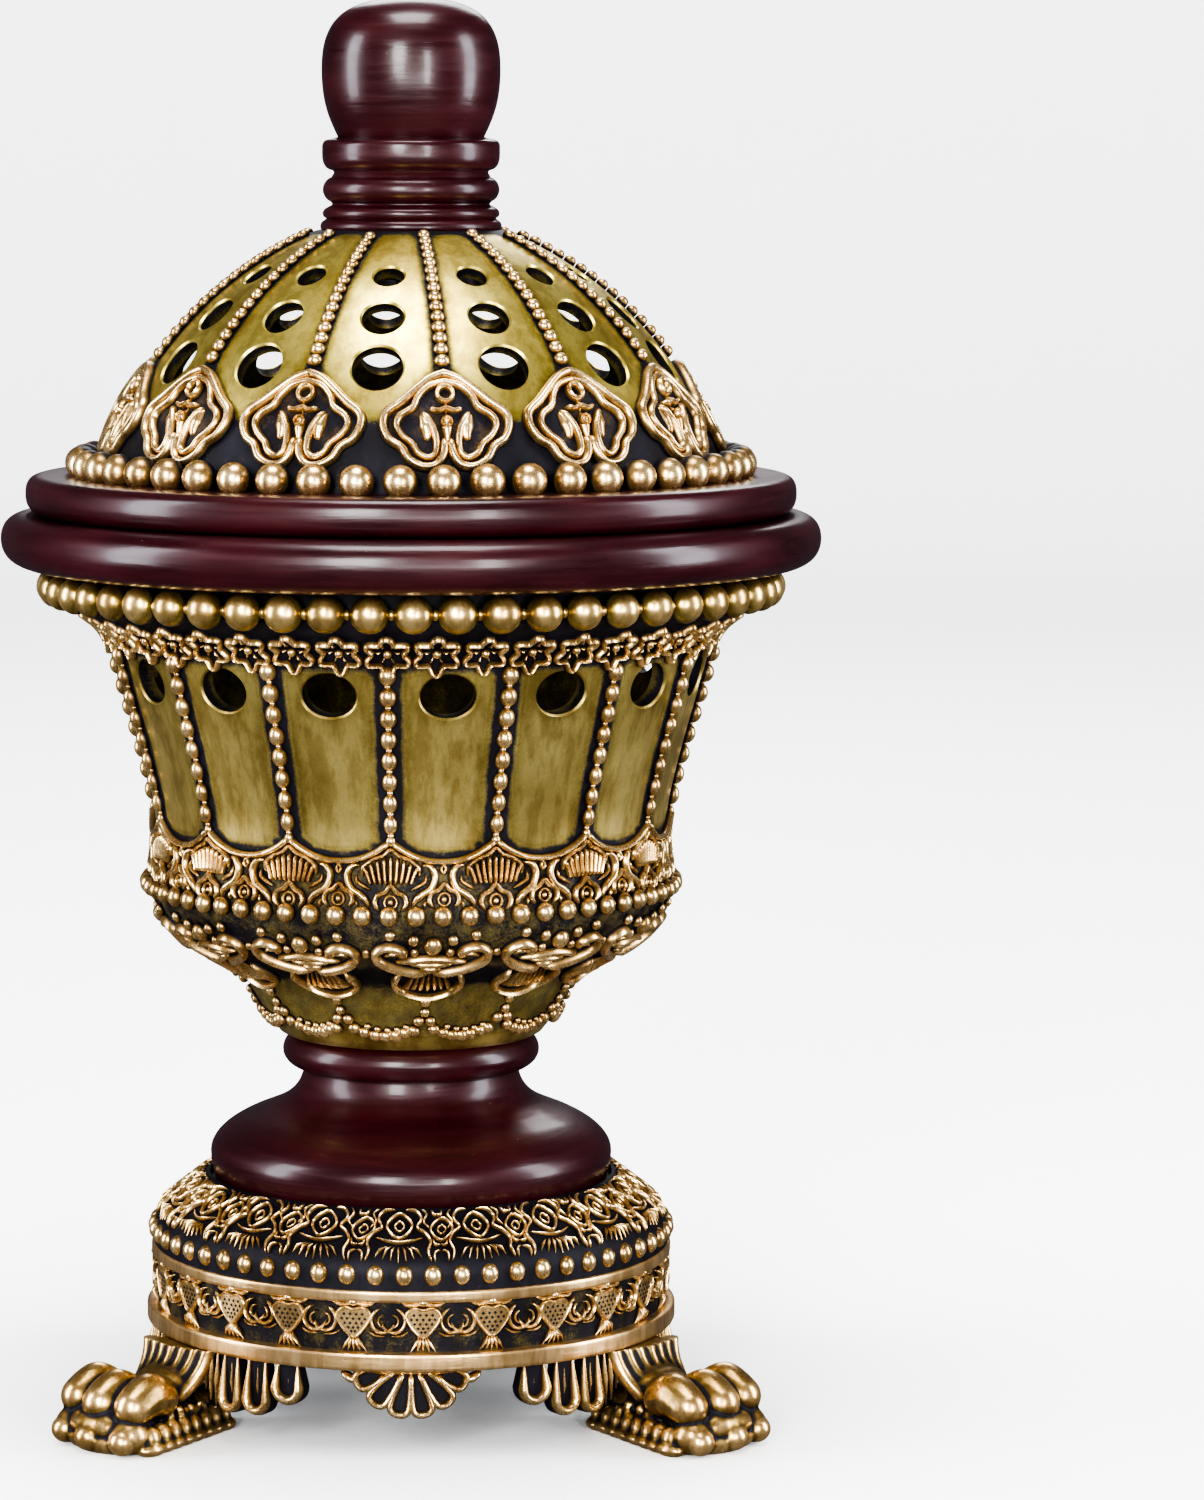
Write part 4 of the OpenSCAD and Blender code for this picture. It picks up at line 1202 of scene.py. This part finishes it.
def feet():
    """Each foot is a fused paw on a leg, with a row of hanging lobes to both sides of it."""
    for node, (angle, turn) in FEET.items():
        obj = bpy.data.objects.new(node + "_paw", paw_mesh(turn))
        bpy.context.scene.collection.objects.link(obj)
        remesh = obj.modifiers.new("remesh", "REMESH")
        remesh.mode = "VOXEL"
        remesh.voxel_size = 0.34 * MM
        remesh.use_smooth_shade = True
        depsgraph = bpy.context.evaluated_depsgraph_get()
        mesh = bpy.data.meshes.new_from_object(obj.evaluated_get(depsgraph))
        obj.modifiers.clear()
        obj.data = mesh
        co = relax(read(mesh.vertices, "co", 3), read(mesh.edges, "vertices", 2, int), 1)
        c, d = math.cos(math.radians(angle)), math.sin(math.radians(angle))
        co = co @ np.array([[c, d, 0], [-d, c, 0], [0, 0, 1]])
        co[:, 2] = np.clip(co[:, 2], 0, (DRUM_Z - 0.05) * MM)
        mesh.vertices.foreach_set("co", co.ravel())
        mesh.update()
        rub = 0.44 + cavity(mesh, 40) * 1.6 + cavity(mesh, 10) * 2.4
        rub = np.clip(rub + np.where(co[:, 2] < 4.5 * MM, 0.14, 0), 0, 1)
        layer = mesh.attributes.new("rub", "FLOAT", "POINT")
        layer.data.foreach_set("value", rub.astype(np.float32))
        mesh.shade_smooth()
        settle(obj, "stand", FOOT, "relief_gold", node)

        wings = Relief()
        for side in (-1, 1):
            for x, low, wide in ((12.8, -9.8, 5.2), (18.5, -9.4, 5.6), (24.5, -6.9, 6.0)):
                hanging_lobe(wings, side * x, 0.4, low, wide)
            for x, low in ((6.6, -7.0), (8.0, -8.6), (9.4, -9.4)):
                wings.ridge([(side * x, 0.2), (side * (x + 0.2), low / 2), (side * (x - 0.6), low)], 1.0, 1.2)
        piece = wings.wrapped(node + "_wings", DRUM, [(angle, DRUM.length_at(DRUM_Z))])
        settle(piece, "stand", RELIEF, "relief_gold", node)


# ---------------- ember pan and plain metal

def ember_pan():
    """A shallow pan with a rolled rim; its floor has a round hole, and five round and five diamond ones."""
    z0, z1 = foot_of("ember_pan"), top_of("ember_pan")
    hole_ring, floor_r, sides = 20.7, 27.6, 96

    def diamond(x, y, angle):
        ca, sa = math.cos(angle), math.sin(angle)
        corners = [(4.1, 0), (0, 2.75), (-4.1, 0), (0, -2.75)]
        out = []
        for (ax, ay), (bx, by) in zip(corners, corners[1:] + corners[:1]):
            for t in np.arange(6) / 6:
                px, py = ax + (bx - ax) * t, ay + (by - ay) * t
                out.append((x + px * ca - py * sa, y + px * sa + py * ca))
        return np.array(out)

    loops = [circle(0, 0, 2.9, steps=24)]
    for i in range(5):
        for phase in (11, 47):
            a = math.radians(phase + 72 * i - 90)
            x, y = hole_ring * math.cos(a), hole_ring * math.sin(a)
            loops.append(circle(x, y, 2.7, steps=24) if phase == 11 else diamond(x, y, a))
    border = circle(0, 0, floor_r, steps=sides)
    points = [tuple(p) for loop in [border] + loops for p in loop]
    edges, start = [], 0
    for loop in [border] + loops:
        edges += [(start + i, start + (i + 1) % len(loop)) for i in range(len(loop))]
        start += len(loop)
    flat, _, tris, *_ = delaunay_2d_cdt(points, edges, [], 1, 1e-5)
    flat = np.array([tuple(p) for p in flat])
    tris = [t for t in tris if not any(inside(loop, *flat[list(t)].mean(0)) for loop in loops)]
    n = len(flat)
    top, low = z0 + 1.0, z0 + 0.2
    verts = [(x, y, top) for x, y in flat] + [(x, y, low) for x, y in flat]
    faces = [list(t) for t in tris] + [[i + n for i in t[::-1]] for t in tris]
    start = len(border)
    for loop in loops:
        faces += strip(range(start, start + len(loop)), range(start + n, start + n + len(loop)))
        start += len(loop)
    angle = np.arctan2(border[:, 1], border[:, 0])
    section = [(floor_r, top), (28.0, top + 0.45), (28.6, top + 0.55), (29.3, top + 0.3), (29.6, top + 0.5),
               (29.75, top + 1.4), (29.8, z1 - 0.6), (29.85, z1 - 0.1), (30.1, z1), (30.45, z1 - 0.1),
               (30.58, z1 - 0.5), (30.55, z0 + 1.4), (30.3, z0 + 0.35), (29.5, z0), (28.2, z0),
               (floor_r, low)]
    rings = [range(sides)]
    for r, z in section[1:-1]:
        rings.append(range(len(verts), len(verts) + sides))
        verts += [(r * math.cos(a), r * math.sin(a), z) for a in angle]
    rings.append(range(n, n + sides))
    for a, b in zip(rings, rings[1:]):
        faces += strip(a, b)
    obj = new_object("ember_pan_dish", verts, faces, sharp=30)
    clean(obj.data)
    settle(obj, "pan", BRASS, "polished_brass", "ember_pan")


def plain_metal():
    """Materials of the CAD nodes that keep their plain turned shape."""
    hidden = ("foot_screws", "tie_rod", "tie_rod_nuts", "tie_rod_washers", "knob_stud", "knob_nut",
              "knob_washer")
    for material, nodes in ((LINER, ("liner_cup", "lid_lip")), (STEEL, hidden)):
        for node in nodes:
            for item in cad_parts[node].material_slots:
                item.material = material


knob()
lid_flange()
rim_ring()
pedestal()
dome_shell()
dome_ribs()
medallions()
bead_row("lid_bead_row", "lid_beads", (55.7, 162), 2.9, 50, -1.8, body="lid")
bowl_shell()
bowl_ribs()
flower_frieze()
palmette_collar()
shell_fans()
garland()
bead_row("rim_bead_row", "rim_beads", (60.6, 141.2), 2.97, 54, 0.4, (1.08, 1.05), 1.0, material=RIM_GOLD)
bead_row("lower_bead_row", "lower_beads", (44.8, 90.6), 1.6, 64, 1.0, (1.0, 1.05))
base_skirt()
skirt_relief()
bead_row("skirt_bead_row", "skirt_beads", (43.7, 30.9), 1.55, 58, -1.5, (1.0, 1.15))
bands()
drum()
drum_motifs()
apron_shells()
feet()
ember_pan()
plain_metal()
